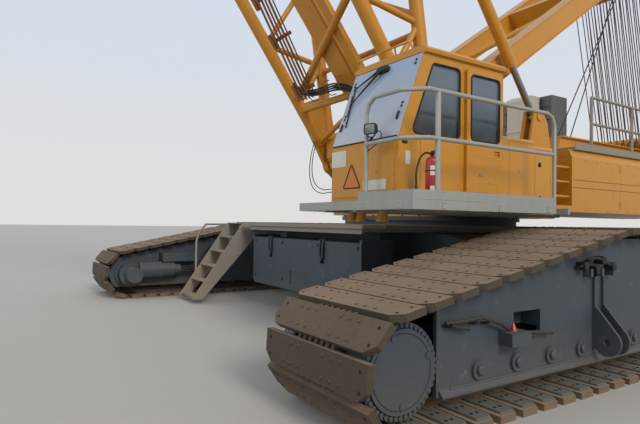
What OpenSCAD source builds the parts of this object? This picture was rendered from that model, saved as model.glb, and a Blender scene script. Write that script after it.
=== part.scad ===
// Crawler crane with a lattice boom. Millimetres, +X is the boom's side, +Y the cab's side, +Z up.
// The origin is on the ground below the slewing axis.

/* [Undercarriage] */
// Distance between the centre lines of the tracks
gauge = 8700; // [8300:50:9300]
// Distance from drive axle to idler axle
axle_span = 10280; // [10000:20:10800]
// Height of the axles, which is the outer radius of the track round its wheels
axle_z = 520; // [500:5:560]
// Height of the track's top run
track_h = 1660; // [1600:10:1680]
// Length of the level part of the top run
crest_len = 4000; // [3000:50:5000]
// Width of a track shoe
shoe_w = 1500; // [1300:50:1600]
// Thickness of a track shoe
shoe_t = 60; // [45:1:70]
// Wanted distance from shoe to shoe
shoe_pitch = 303; // [270:1:340]
// Height of a chain link
link_h = 95; // [80:1:105]
// Width of the track chain
chain_w = 520; // [420:10:560]
// Width of a side frame over its plates
frame_w = 1040; // [960:10:1080]
// Thickness of a side frame's plates
plate_t = 40; // [25:1:50]
// Radius of a bottom roller
roller_r = 258; // [230:1:262]
// Distance from bottom roller to bottom roller
roller_pitch = 530; // [526:1:550]
// Length of the middle frame
body_len = 5100; // [4600:50:5600]
// Height of the walkway deck's upper face
deck_z = 1655; // [1620:5:1700]

/* [Superstructure] */
// Diameter of the slewing ring
ring_d = 3600; // [3000:50:3800]
// Underside of the main girders
girder_z = 1880; // [1870:5:1900]
// Height of the front part of the main girders
girder_h = 720; // [600:10:740]
// Height of the rear part of the main girders
girder_rear_h = 1770; // [1400:10:1800]
// Distance from the slewing axis to the tail
tail_x = 8300; // [8200:50:8800]
// Outer face of the cab and of the machinery houses, from the middle
side_y = 3680; // [3600:10:3760]
// Upper face of the cab platform
platform_z = 1930; // [1915:5:1950]
// Width of the gangway beside the cab
gangway_w = 470; // [400:10:520]
// Height of the platform's handrail
rail_h = 1135; // [1000:5:1200]
// Number of slabs in each counterweight stack
slabs = 9; // [5:1:10]
// Thickness of a counterweight slab
slab_t = 370; // [300:10:400]

/* [Cab] */
// Length of the cab
cab_len = 1745; // [1600:5:1900]
// Width of the cab
cab_w = 1264; // [1200:4:1400]
// Height of the cab over its platform
cab_h = 1720; // [1650:5:1800]
// Thickness of the cab's walls
wall_t = 50; // [30:1:60]
// Height of the window sills over the platform
sill_h = 690; // [600:5:760]
// How far the windscreen leans back
rake = 385; // [250:5:450]

/* [Boom] */
// Length from the foot pins to the head sheaves, along the boom
boom_len = 24000; // [21000:500:30000]
// Angle of the boom over the ground
boom_angle = 67.4; // [60:0.1:72]
// Distance from the slewing axis to the foot pins
pin_x = 1425; // [1350:5:1500]
// Height of the foot pins
pin_z = 2944; // [2900:2:3000]
// Width of the boom between chord centres
boom_w = 3000; // [2980:10:3020]
// Depth of the boom between chord centres
boom_d = 2744; // [2600:2:3000]
// Length of the tapered foot section
foot_len = 6000; // [5800:50:6400]
// Length of the straight middle section
mid_len = 12000; // [11000:500:12500]
// How far the head sheaves' axis lies in front of the boom's axis
sheave_out = 950; // [900:10:1100]
// Diameter of the chords
chord_d = 240; // [200:5:260]
// Diameter of the lacing tubes
lace_d = 110; // [80:5:130]

/* [Hidden] */
yellow = "#E0A018";
steel = "#3E454D";
grey = "#A6A8A6";
seat = 0.3; // running gap at a seat

// Undercarriage values
axle_x = axle_span / 2;
crest_x = crest_len / 2;
crest_z = track_h - axle_z;
link_r = axle_z - shoe_t;
chain_r = link_r - link_h;
climb = atan2(crest_z - axle_z, axle_x - crest_x);
loop_c = [[-axle_x, axle_z], [axle_x, axle_z], [crest_x, crest_z], [-crest_x, crest_z]];
loop_a = [0, 180 - climb, 180, 180 + climb, 360];
frame_in = gauge / 2 - frame_w / 2;
roller_z = shoe_t + link_h + seat + roller_r;
roller_half = floor((axle_x - chain_r - roller_r - 60) / roller_pitch);
carrier_r = 90;
pin_roller_r = 60;
body_y = 1500;
body_top = deck_z - 60;
ballast_t = 606;

// Track path: a belt of radius r round the four corner circles, s along it, h outside it
function unit(a) = [cos(a), sin(a)];
function edge(i) = norm(loop_c[(i + 1) % 4] - loop_c[i]);
function bend(i, r) = (loop_a[i + 1] - loop_a[i]) * PI / 180 * r;
function loop_len(r, i = 0) = i > 3 ? 0 : edge(i) + bend(i, r) + loop_len(r, i + 1);
function place(s, r, h, i = 0) =
  s <= edge(i) ? [loop_c[i] + s * unit(loop_a[i]) + (r + h) * unit(loop_a[i] - 90), loop_a[i]]
  : s <= edge(i) + bend(i, r)
    ? let (a = loop_a[i] + (s - edge(i)) / r * 180 / PI)
      [loop_c[(i + 1) % 4] + (r + h) * unit(a - 90), a]
  : place(s - edge(i) - bend(i, r), r, h, i + 1);
shoe_n = round(loop_len(link_r) / shoe_pitch);
pitch = loop_len(link_r) / shoe_n;

// Superstructure values
girder_y = 1010;
girder_out = 1680;
girder_rear_out = 1300;
girder_top = girder_z + girder_h;
girder_rear_top = girder_z + girder_rear_h;
girder_front = 1250;
ring_z = 1740;
ring_top = 1815;
plat_x = 4346;
plat_y = side_y + gangway_w;
plat_in = 1980;
plat_rear = 1950;
plat_bottom = platform_z - 104;
kick_h = 95;
housing_back = 1280;
cab_back = 2385;
cab_front = cab_back + cab_len;
cab_in = side_y - cab_w;
cab_z = platform_z;
cab_top = cab_z + cab_h;
sill_z = cab_z + sill_h;
glass_top = cab_top - 130;
door_a = cab_back + 75;
door_len = 660;
door_t = 40;
house_top = 2790;
house_front = 830;
right_front = -150;
house_back = -5600;
stack_x = -6450;
stack_l = 800;
stack_z = 2300;

// Boom values, in its own frame: u along the axis from the foot pins, w towards the rear
joint_stub = 150; // straight end of a chord next to a joint between sections
mid_end = foot_len + mid_len;
head_end = boom_len - 300;
taper = atan2(boom_d / 2, foot_len - joint_stub);
eye_r = 200;
winch_z = 2660;
pin_r = 75;
stop_y = 1520;
stop_x = -1400;
stop_z = 3850;
stop_u = 5295;
stop_w = stop_u * tan(taper) + 267;
stop_tube_d = 220;
stop_rod_d = 130;
stop_show = 1170;
arm_y = 1180;
arm_w = 340;
arm_d = 420;
arm_rise = 370;
arm_angle = 34.6;
arm_len = 10200;
head_c = [pin_x + boom_len * cos(boom_angle) + sheave_out * sin(boom_angle),
  pin_z + boom_len * sin(boom_angle) - sheave_out * cos(boom_angle)];
strap_y = 810;
strap_pin_r = 60;
sheave_r = 450;
rope_d = 28;
rope_x = head_c[0] + sheave_r + rope_d / 2 + seat;
hook_z = head_c[1] - 3400;

// Round bar from point p to point q, rolled about itself
module bar(p, q, d, roll = 30) {
  v = q - p;
  translate(p)
    rotate([0, acos(v[2] / norm(v)), atan2(v[1], v[0])])
      rotate(roll) cylinder(h = norm(v), d = d, $fn = 20);
}

// Brace between two chords: it ends inside them, short of their centre lines
module brace(p, q, d, cut = 72) {
  v = (q - p) / norm(q - p);
  bar(p + cut * v, q - cut * v, d);
}

// Box between two corners
module block(a, b) {
  translate(a) cube(b - a);
}

// Outline in x and z, drawn out from y0 to y1
module slab_y(y0, y1) {
  translate([0, y1, 0]) rotate([90, 0, 0]) linear_extrude(height = y1 - y0) children();
}

// Round piece about a line along y, from y0 to y1
module round_y(x, z, y0, y1, r) {
  translate([x, y0, z]) rotate([-90, 0, 0]) cylinder(h = y1 - y0, r = r, $fn = 48);
}

// Outline in y and z, drawn out from x0 to x1
module slab_x(x0, x1) {
  translate([x0, 0, 0]) rotate([90, 0, 90]) linear_extrude(height = x1 - x0) children();
}

// Polygon with its corners rounded to radius r by n straight steps
function corner(a, p, b, r, n) =
  let (u = (a - p) / norm(a - p), v = (b - p) / norm(b - p), h = acos(u * v) / 2,
    c = p + (u + v) / norm(u + v) * r / sin(h), s = p + u * r / tan(h) - c, e = p + v * r / tan(h) - c,
    a0 = atan2(s[1], s[0]), t = atan2(s[0] * e[1] - s[1] * e[0], s * e))
  [for (i = [0 : n]) c + r * unit(a0 + t * i / n)];
function rounded(pts, r, n = 4) = let (m = len(pts))
  [for (i = [0 : m - 1]) each corner(pts[(i + m - 1) % m], pts[i], pts[(i + 1) % m], r, n)];

module both_sides() {
  children();
  mirror([0, 1, 0]) children();
}

module on_left() {
  translate([0, gauge / 2, 0]) children();
}

module on_right() {
  mirror([0, 1, 0]) translate([0, gauge / 2, 0]) children();
}

module in_boom() {
  translate([pin_x, 0, pin_z]) rotate([0, -boom_angle, 0]) children();
}

// The arm frame: x along the arm to the rear, upper side at negative z
module in_arm() {
  translate([pin_x, 0, pin_z]) rotate([0, arm_angle - 180, 0]) children();
}

module loop_shape(r) {
  for (i = [0 : 3]) translate(loop_c[i]) circle(r = r, $fn = 64);
  polygon([for (i = [0 : 3]) for (e = [0, 1])
    loop_c[(i + e) % 4] + r * unit(loop_a[i] - 90)]);
}

module car_body() color(steel) {
  slab_y(-body_y, body_y) polygon(rounded([[-body_len / 2, 620], [-body_len / 2 + 300, 560],
    [body_len / 2 - 300, 560], [body_len / 2, 620], [body_len / 2, body_top], [-body_len / 2, body_top]], 40, 2));
  // cross beams, deeper next to the middle frame
  for (x = [-1900, 1000]) slab_x(x, x + 900) polygon([[-frame_in, 640], [frame_in, 640], [frame_in, 1300],
    [body_y + 500, 1540], [-body_y - 500, 1540], [-frame_in, 1300]]);
  for (x = [-1700, 1200]) for (y = [-frame_in, frame_in - 160]) block([x, y, 600], [x + 500, y + 160, 660]);
  translate([0, 0, body_top - 1]) cylinder(h = ring_z - body_top + 1, r = ring_d / 2 - 60, $fn = 72);
}

// Side frame of a track, seen with the outer side at positive y
module side_frame() color(steel) {
  half = frame_w / 2;
  difference() {
    union() {
      slab_y(-half + plate_t - 1, half - plate_t + 1) intersection() {
        loop_shape(170);
        translate([540 - axle_x, 700]) square([axle_span - 1080, 1200]);
      }
      slab_y(half - plate_t, half) intersection() {
        loop_shape(link_r - 60);
        translate([-axle_span, 240]) square([axle_span + axle_x - 390, 1600]);
      }
      slab_y(-half, -half + plate_t) intersection() {
        loop_shape(link_r - 60);
        translate([-axle_span, 240]) square([2 * axle_span, 1600]);
      }
      // ledge along the foot of the outer plate
      slab_x(190 - axle_x, axle_x - 420) polygon([[half - 1, 240], [half + 45, 240], [half + 45, 258], [half - 1, 310]]);
      block([3690, half - 1, 595], [3965, half + 150, 715]);
      for (x = [2130, 2350, 2560]) block([x, half - 1, 1150], [x + 40, half + 90, 1235]);
      for (x = jack_x) jack_plate(x, half);
    }
    block([3340, half - 220, 660], [3750, half + 1, 870]);
    for (i = [-roller_half : roller_half])
      round_y(i * roller_pitch, roller_z, -half - 1, half + 1, pin_roller_r + seat);
    for (c = carriers()) round_y(c[0], c[1], -half - 1, half + 1, 40 + seat);
    round_y(-axle_x, axle_z, -half - 1, half + 1, 90 + seat);
    round_y(axle_x, axle_z, -half - 1, 0, 250 + seat);
    translate([jack_x[0] - 50, half + jack_out, jack_z]) rotate([0, 90, 0])
      cylinder(h = 400, r = jack_hole, $fn = 48);
  }
}

// Two plates stand out of the frame and widen down to a boss; a pin goes through both
jack_x = [2224, 2396];
jack_out = 158;
jack_z = 470;
jack_hole = 35;
module jack_plate(x, y) {
  slab_x(x, x + 30) {
    polygon([[y - 1, 1150], [y + 30, 1150], [y + 30, 840], [y + jack_out + 102, jack_z + 103],
      [y + jack_out, jack_z - 60], [y - 1, 370]]);
    translate([y + jack_out, jack_z]) circle(r = 145, $fn = 48);
  }
}

function carriers() = [for (s = [0.35, 0.75]) for (i = [1, 3])
    loop_c[i] + s * (loop_c[(i + 1) % 4] - loop_c[i])
      + (chain_r - seat - carrier_r) * unit(loop_a[i] - 90),
  for (x = [-1500, -500, 500, 1500]) [x, crest_z + chain_r - seat - carrier_r]];

// Track loop: every shoe is a flat plate on the chain, with its leading corners cut
module track() color("#8A7D6B") {
  r_in = chain_r;
  shoe = [[-0.47, -0.5 + 0.07], [-0.2, -0.5], [0.47, -0.5], [0.47, 0.5], [-0.2, 0.5], [-0.47, 0.5 - 0.07]];
  for (k = [0 : shoe_n - 1]) {
    p = place((k + 0.5) * pitch, link_r, -2);
    translate([p[0][0], 0, p[0][1]]) rotate([0, -p[1], 0]) rotate([180, 0, 0])
      linear_extrude(height = shoe_t + 2)
        polygon([for (c = shoe) [c[0] * pitch, c[1] * shoe_w]]);
  }
  slab_y(-chain_w / 2, chain_w / 2) difference() {
    polygon([for (k = [0 : shoe_n - 1]) for (e = [-0.4, 0.4])
      let (p = place((k + 0.5) * pitch, link_r, 0)) p[0] + e * pitch * unit(p[1])]);
    polygon([for (k = [0 : shoe_n - 1]) let (p = place((k + 0.5) * pitch, link_r, -link_h)) p[0]]);
  }
}

module drive_wheel() color(steel) {
  rim = chain_r * cos(pitch / link_r * 90 / PI) - 4;
  face = frame_w / 2 + 20;
  round_y(axle_x, axle_z, -235, 240, rim);
  round_y(axle_x, axle_z, chain_w / 2 + 8, face - 30, 388);
  round_y(axle_x, axle_z, 239, face, 335);
  for (i = [0 : 43]) about_axle(i * 360 / 44) round_y(362, 0, 300, face - 12, 19);
  for (a = [200, 290]) about_axle(a) round_y(290, 0, 300, face + 10, 26);
}

module about_axle(a) {
  translate([axle_x, 0, axle_z]) rotate([0, a, 0]) children();
}

module drive_motors() {
  on_left() drive_motor();
  on_right() drive_motor();
}

module drive_motor() color(steel) {
  half = frame_w / 2;
  round_y(axle_x, axle_z, -760, -235 - seat, 250);
  round_y(axle_x, axle_z, -half - 50, -half - seat, 300);
  round_y(axle_x, axle_z, -1060, -759, 160);
}

module idler() color(steel) {
  half = frame_w / 2;
  rim = chain_r * cos(pitch / link_r * 90 / PI) - 4;
  round_y(-axle_x, axle_z, -235, 235, rim);
  round_y(-axle_x, axle_z, -half - 28, half + 28, 90);
  for (y = [-half - 28, half + seat]) round_y(-axle_x, axle_z, y, y + 28 - seat, 150);
}

module rollers() color(steel) {
  half = frame_w / 2;
  for (i = [-roller_half : roller_half]) {
    round_y(i * roller_pitch, roller_z, -240, 240, roller_r);
    round_y(i * roller_pitch, roller_z, -half - 28, half + 28, pin_roller_r);
    for (y = [-half - 28, half + seat])
      round_y(i * roller_pitch, roller_z, y, y + 28 - seat, 85);
  }
  for (c = carriers()) {
    round_y(c[0], c[1], -200, 200, carrier_r);
    round_y(c[0], c[1], -half, half, 40);
  }
}

module ballast_boxes() {
  ballast();
  mirror([1, 0, 0]) ballast();
}

// Ballast box on an end of the middle frame, with hook recesses in its outer face
module ballast() color(steel) {
  front = body_len / 2 + ballast_t;
  difference() {
    slab_x(body_len / 2, front) polygon([[-1800, 520], [-1730, 452], [1730, 452], [1800, 520],
      [1800, 1373], [-1800, 1373]]);
    for (y = [-1110, 690]) block([front - 60, y, 1000], [front + 1, y + 130, 1400]);
    block([front - 12, -300, 560], [front + 1, 300, 800]);
  }
  for (y = [-1065, 735]) slab_y(y, y + 40) polygon([[front - 61, 1040], [front - 8, 1100], [front - 8, 1300],
    [front - 61, 1340]]);
  for (y = [-1810, 1750]) block([body_len / 2, y, 1372], [front, y + 60, 1420]);
}

module deck() color(grey) {
  difference() {
    union() {
      translate([0, 0, body_top]) linear_extrude(height = deck_z - body_top)
        polygon([[-3250, -2050], [2200, -2050], [2200, -3050], [2940, -3050], [2940, -2050], [3250, -2050],
          [3250, 1930], [2900, 2050], [-3250, 2050]]);
      for (y = [-1900, 1810]) block([-3200, y, body_top - 50], [3200, y + 50, body_top + 1]);
      for (x = [-3200, 3150]) block([x, -1900, body_top - 80], [x + 50, 1850, body_top + 1]);
      for (x = [2250, 2840]) block([x, -3000, body_top - 80], [x + 50, -1890, body_top + 1]);
    }
    translate([0, 0, body_top - 1]) cylinder(h = 100, r = ring_d / 2 - 60 + 1, $fn = 72);
  }
}

module stairs() color(grey) {
  x0 = 2940;
  lead = 270;
  run = 1090;
  rise = deck_z - 90;
  for (y = [-3030, -2240]) slab_y(y, y + 20)
    polygon([[x0, deck_z - 5], [x0 + lead, deck_z - 5], [x0 + lead + run, 90], [x0 + lead + run - 230, 90],
      [x0, deck_z - 330]]);
  block([x0, -3011, deck_z - 25], [x0 + lead - 20, -2239, deck_z - 5]);
  for (i = [1 : 5]) {
    x = x0 + lead + run * i * 300 / rise;
    block([x - 210, -3011, deck_z - i * 300 - 25], [x - 15, -2239, deck_z - i * 300]);
  }
  tube_path([[x0 + seat, -3040, 1612], [3720, -3040, 1604], [3870, -3040, 1420], [3925, -3040, 1230],
    [3925, -3040, 560]], 44);
}

module slewing_ring() color(steel) {
  translate([0, 0, ring_z]) cylinder(h = ring_top - ring_z, r = ring_d / 2, $fn = 72);
  for (i = [0 : 35]) rotate(i * 10) translate([ring_d / 2 - 45, 0, ring_top - 1])
    cylinder(h = 25, r = 22, $fn = 6);
}

module main_girders() color(yellow) {
  both_sides() {
    difference() {
      union() {
        slab_y(girder_y, girder_rear_out) polygon(girder_side());
        slab_y(girder_rear_out - 1, girder_out)
          polygon([[girder_front, girder_z], [girder_front, girder_top], [-2300, girder_top], [-2700, girder_z]]);
        // flanges along the upper and lower edges
        slab_y(girder_y - 60, girder_rear_out + 60) for (e = girder_edges()) polygon(e);
      }
      // round holes in the web of the rear part
      for (x = [-3600, -5050]) round_y(x, 2700, girder_rear_out - 40, girder_rear_out + 1, 330);
      for (x = [-3600, -5050]) round_y(x, 2700, girder_y - 1, girder_y + 40, 330);
    }
    for (y = [1030, 1340, 1600]) foot_cheek(y);
    round_y(pin_x, pin_z, 1010, 1690, pin_r);
    for (y = [990, 1680]) round_y(pin_x, pin_z, y, y + 20, pin_r + 45);
    slab_y(girder_y, girder_y + 60) {
      polygon([[-1850, girder_top - 1], [-1150, girder_top - 1], [-1350, 2850], [-1650, 2850]]);
      translate([-1500, winch_z]) circle(r = 230, $fn = 48);
    }
  }
  for (x = [girder_front - 240, -700, -2480, -5400])
    block([x, -girder_y - 1, girder_z + 40], [x + 160, girder_y + 1, girder_top - 60]);
  block([girder_front - 700, -girder_y - 1, girder_top - 200], [girder_front, girder_y + 1, girder_top - 160]);
  translate([0, 0, ring_top + 0.5]) cylinder(h = girder_z - ring_top, r = ring_d / 2 - 130, $fn = 72);
}

function girder_side() = [[girder_front, girder_z], [girder_front, girder_top], [-2300, girder_top],
  [-2700, girder_rear_top],
  [-tail_x, girder_rear_top], [-tail_x, 2500], [-6000, girder_z]];

// Strips 30 thick inside the rear part's edges
function girder_edges() = [
  [[-2700, girder_rear_top], [-tail_x, girder_rear_top], [-tail_x, girder_rear_top - 30],
    [-2680, girder_rear_top - 30]],
  [[-2600, girder_z], [-6000, girder_z], [-6000, girder_z + 30], [-2600, girder_z + 30]]];

module foot_cheek(y) {
  slab_y(y, y + 60) {
    polygon([[pin_x - 650, girder_top - 1], [girder_front, girder_top - 1], [pin_x + 130, pin_z - 75],
      [pin_x - 100, pin_z + 110]]);
    translate([pin_x, pin_z]) circle(r = 150, $fn = 48);
  }
}

// Two cheeks on each girder, with the ends of the pin that a backstop's rod pulls at
module backstop_brackets() color(yellow) both_sides() {
  for (y = [stop_y - 125, stop_y + 75]) slab_y(y, y + 50)
    polygon([[stop_x - 500, girder_top], [stop_x + 450, girder_top], [stop_x + 150, stop_z + 120],
      [stop_x - 130, stop_z + 120], [stop_x - 280, stop_z - 100]]);
  round_y(stop_x, stop_z, stop_y - 140, stop_y - 124, 85);
  round_y(stop_x, stop_z, stop_y + 124, stop_y + 150, 85);
}

module platform() color(grey) {
  difference() {
    union() {
      block([housing_back, plat_in, plat_bottom], [plat_x, side_y, platform_z]);
      block([plat_rear, side_y - 1, plat_bottom], [plat_x, plat_y, platform_z - 30]);
    }
    block([housing_back + 60, plat_in + 60, plat_bottom - 1], [plat_x - 60, side_y - 60, platform_z - 30]);
    block([plat_rear + 40, side_y + 30, plat_bottom - 1], [plat_x - 60, plat_y - 60, platform_z - 45]);
  }
  // beams below
  for (x = [1600, 2300, 3000, 3700]) block([x, plat_in, plat_bottom], [x + 50, plat_y - 30, platform_z - 29]);
  for (y = [2500, 3100]) {
    block([housing_back - 1, y, plat_bottom - 20], [plat_x - 40, y + 60, platform_z - 29]);
    // their ends hold the platform under the machinery house
    block([300, y, plat_bottom - 20], [housing_back, y + 60, girder_z - seat]);
  }
  // kick plates
  block([plat_rear, plat_y - 20, plat_bottom], [plat_x, plat_y, platform_z + kick_h]);
  block([plat_x - 20, 3250, plat_bottom], [plat_x, plat_y, platform_z + kick_h]);
  // rubber mounts that carry the cab
  for (y = [2560, 2740, 3150]) {
    translate([3900, y, 1705]) cylinder(h = platform_z - 1705 - 10, r = 60, $fn = 32);
    translate([3900, y, 1700]) cylinder(h = 30, r = 75, $fn = 32);
  }
}

// Outline of the cab from the side, d inside its outer faces
function cab_side(d) = [[cab_back + d, cab_z + d], [cab_front - d, cab_z + d],
  [cab_front - d, sill_z - d * 0.2], [cab_front - rake - d, cab_top - d], [cab_back + d, cab_top - d]];

module cab_shell() color(yellow) {
  front_window = [[cab_front - 190, sill_z + 70], [cab_front - rake - 130, glass_top],
    [cab_front - 960, glass_top], [cab_front - 960, sill_z + 70]];
  difference() {
    union() {
      slab_y(cab_in, side_y) polygon(cab_side(0));
      slab_x(cab_back - 20, cab_front - rake + 20) polygon([[cab_in - 25, cab_top + 5], [cab_in - 25, cab_top + 35],
        [cab_in + 120, cab_top + 60], [side_y - 100, cab_top + 60], [side_y + 25, cab_top + 38],
        [side_y + 48, cab_top + 8], [side_y + 38, cab_top - 28], [side_y - 1, cab_top - 34],
        [side_y - 40, cab_top - 20], [cab_in + 40, cab_top - 20]]);
      // frame of the lower front panel
      block([cab_front - 1, cab_in + 60, cab_z + 60], [cab_front + 12, side_y - 60, sill_z - 40]);
    }
    slab_y(cab_in + wall_t, side_y - wall_t) polygon(cab_side(wall_t));
    // windscreen
    slab_y(cab_in + 70, side_y - 70) polygon([[cab_front - 120, sill_z + 50], [cab_front + 50, sill_z + 50],
      [cab_front + 50, glass_top + 30], [cab_front - rake - 180, glass_top + 30]]);
    // front side windows
    slab_y(cab_in - 1, side_y + 1) polygon(rounded(front_window, 55));
    // window and doorway of the left side, window of the right side, rear window
    slab_y(cab_in - 1, cab_in + 100) polygon(rounded(pane(door_a, door_a + 600, sill_z + 70, glass_top), 55));
    block([door_a, side_y - 100, cab_z + 80], [door_a + 600, side_y + 1, glass_top]);
    block([cab_back - 1, cab_in + 120, sill_z + 70], [cab_back + 100, side_y - 120, glass_top]);
    // seams of the lower panels
    for (x = [cab_front - 330, cab_front - 560]) block([x, side_y - 6, cab_z + 30], [x + 6, side_y + 1, sill_z + 20]);
    block([cab_front - 330, side_y - 6, sill_z + 20], [cab_front + 1, side_y + 1, sill_z + 26]);
  }
  runners(cab_back, door_a - 1, door_runs);
  runners(door_a + 601, door_a + 640, door_runs);
}

function pane(x0, x1, z0, z1) = [[x0, z0], [x1, z0], [x1, z1], [x0, z1]];

// Runners of the sliding door on the cab and on the housing behind it, over x0 to x1
module runners(x0, x1, heights) {
  for (z = heights) block([x0, side_y - 1, z], [x1, side_y + 5 - seat, z + 25]);
}
door_runs = [cab_z + 75, glass_top - 15];

module cab_door() color(yellow) {
  x0 = door_a - 30;
  y0 = side_y + 5;
  difference() {
    slab_y(y0, y0 + door_t) polygon(rounded(pane(x0, x0 + door_len, cab_z + 60, glass_top + 20), 40));
    slab_y(y0 - 1, y0 + door_t + 1) polygon(rounded(pane(door_a + 40, door_a + 560, sill_z + 70, glass_top - 40), 55));
    // recess of the handle
    block([door_a + 30, y0 + 20, sill_z - 90], [door_a + 130, y0 + door_t + 1, sill_z - 30]);
  }
  block([door_a + 45, y0 + 19, sill_z - 68], [door_a + 115, y0 + 34, sill_z - 52]);
}

module cab_door_glass() color("#4A5560") {
  s = seat;
  slab_y(side_y + 17, side_y + 27)
    polygon(rounded(pane(door_a + 40 + s, door_a + 560 - s, sill_z + 70 + s, glass_top - 40 - s), 55 - s));
}

module windshield() color("#8FA3B8") {
  lean = atan2(rake, cab_top - sill_z);
  translate([cab_front + seat, 0, sill_z]) rotate([0, -lean, 0])
    translate([0, cab_in + 12, 15]) cube([12, cab_w - 24, (cab_top - sill_z) / cos(lean) - 55]);
}

module cab_glass() color("#4A5560") {
  s = seat;
  for (y = [side_y - 30, cab_in + 20]) slab_y(y, y + 10)
    polygon(rounded([[cab_front - 190 - 1.5 * s, sill_z + 70 + s], [cab_front - rake - 130 - 0.5 * s, glass_top - s],
      [cab_front - 960 + s, glass_top - s], [cab_front - 960 + s, sill_z + 70 + s]], 55));
  slab_y(cab_in + 20, cab_in + 30)
    polygon(rounded(pane(door_a + s, door_a + 600 - s, sill_z + 70 + s, glass_top - s), 55));
  block([cab_back + 20, cab_in + 120 + s, sill_z + 70 + s], [cab_back + 30, side_y - 120 - s, glass_top - s]);
}

module operator_seat() color("#2A2C30") {
  mid = (cab_in + side_y) / 2;
  floor_z = cab_z + wall_t + seat;
  x = cab_back + 370;
  translate([x + 250, mid, floor_z]) cylinder(h = 300, r = 110, $fn = 32);
  block([x + 30, mid - 220, floor_z + 299], [x + 470, mid + 220, floor_z + 380]);
  slab_y(mid - 250, mid + 250) polygon(rounded([[x, floor_z + 379], [x + 500, floor_z + 400],
    [x + 510, floor_z + 500], [x + 30, floor_z + 480]], 30));
  slab_y(mid - 230, mid + 230) polygon(rounded([[x, floor_z + 420], [x + 90, floor_z + 430],
    [x - 20, floor_z + 1150], [x - 110, floor_z + 1130]], 30));
  // consoles with the levers
  for (y = [mid - 380, mid + 270]) block([x + 60, y, floor_z + 300], [x + 560, y + 110, floor_z + 560]);
  for (y = [mid - 271, mid + 219]) block([x + 200, y, floor_z + 320], [x + 300, y + 52, floor_z + 360]);
}

module housing_left() color(yellow) {
  difference() {
    union() {
      slab_x(1700, cab_back) polygon([[cab_in, platform_z], [side_y, platform_z], [side_y, 2790],
        [side_y - 30, 2820], [cab_in, 2820]]);
      slab_x(housing_back, 1701) polygon([[cab_in, platform_z], [side_y, platform_z], [side_y, 2720],
        [side_y - 30, 2750], [cab_in, 2750]]);
    }
    // seams of the doors
    for (x = [2240, 1700, housing_back + 60])
      block([x, side_y - 8, platform_z + 40], [x + 6, side_y + 1, x == 2240 ? 2766 : 2696]);
    for (z = [platform_z + 40, 2690]) block([housing_back + 60, side_y - 8, z], [1700, side_y + 1, z + 6]);
    for (z = [platform_z + 40, 2760]) block([1706, side_y - 8, z], [2240, side_y + 1, z + 6]);
  }
  runners(1750, cab_back, [door_runs[0]]);
}

module side_house_left() color(yellow) {
  inner = [[girder_out, girder_z], [side_y, girder_z], [side_y, house_top - 120], [side_y - 60, house_top],
    [girder_out, house_top]];
  difference() {
    slab_x(house_back, house_front) polygon(inner);
    block([house_back + 50, girder_out + 50, girder_z + 50], [house_front - 50, side_y - 60, house_top - 160]);
    // creases of the side panel and seams of its doors
    for (z = [2220, 2330]) block([house_back + 100, side_y - 14, z], [house_front - 40, side_y + 1, z + 20]);
    for (x = [-500, -1800, -3100, -4400]) block([x, side_y - 8, girder_z + 60], [x + 6, side_y + 1, house_top - 150]);
    // louvres
    for (x = [-4250, -2950]) for (i = [0 : 7])
      block([x, side_y - 25, 2420 + i * 32], [x + 1000, side_y + 1, 2434 + i * 32]);
  }
  // ladder between this house and the housing behind the cab
  block([house_front - 1, girder_out, girder_z], [housing_back - 10, side_y - 430, 2640]);
  block([house_front - 1, side_y - 440, girder_z], [housing_back - 10, side_y, girder_z + 90]);
  for (i = [0 : 2]) translate([house_front - 20, side_y - 60, 2100 + i * 210]) rotate([0, 90, 0])
    cylinder(h = housing_back - 12 - house_front + 20, d = 40, $fn = 20);
  block([housing_back - 22, side_y - 440, girder_z + 89], [housing_back - 10, side_y, 2640]);
}

module side_house_right() color(yellow) {
  difference() {
    slab_x(-6400, right_front) polygon([[-girder_out, girder_z], [-side_y, girder_z], [-side_y, house_top - 120],
      [-side_y + 60, house_top], [-girder_out, house_top]]);
    block([-5550, -side_y + 60, girder_z + 50], [right_front - 50, -girder_out - 50, house_top - 160]);
    for (x = [-1300, -2600, -3900, -5200])
      block([x, -side_y - 1, girder_z + 60], [x + 6, -side_y + 8, house_top - 150]);
    for (x = [-1200, -2500, -3800]) for (i = [0 : 13])
      block([x, -side_y - 1, 2100 + i * 40], [x + 1000, -side_y + 30, 2118 + i * 40]);
  }
  // exhaust and radiator hood on the roof
  translate([-2000, -2200, house_top - 1]) cylinder(h = 500, r = 90, $fn = 32);
  block([-4400, -3300, house_top - 1], [-3000, -2000, house_top + 160]);
}

module engine_block() color(steel) {
  block([-3600, -3150, girder_z + 50 + seat], [-1300, -2150, house_top - 180]);
}

module winches() color(steel) {
  for (x = [-1500, -3300, -4400]) {
    round_y(x, winch_z, -900, 900, 330);
    for (y = [-940, 900]) {
      round_y(x, winch_z, y, y + 40, 480);
      for (i = [0 : 11]) translate([x, 0, winch_z]) rotate([0, i * 30, 0])
        round_y(250, 0, y < 0 ? y - 20 : y, y < 0 ? y + 1 : y + 60, 22);
    }
    round_y(x, winch_z, -girder_y + seat, girder_y - seat, 120);
  }
}

module counterweights() both_sides() counterweight();

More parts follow.
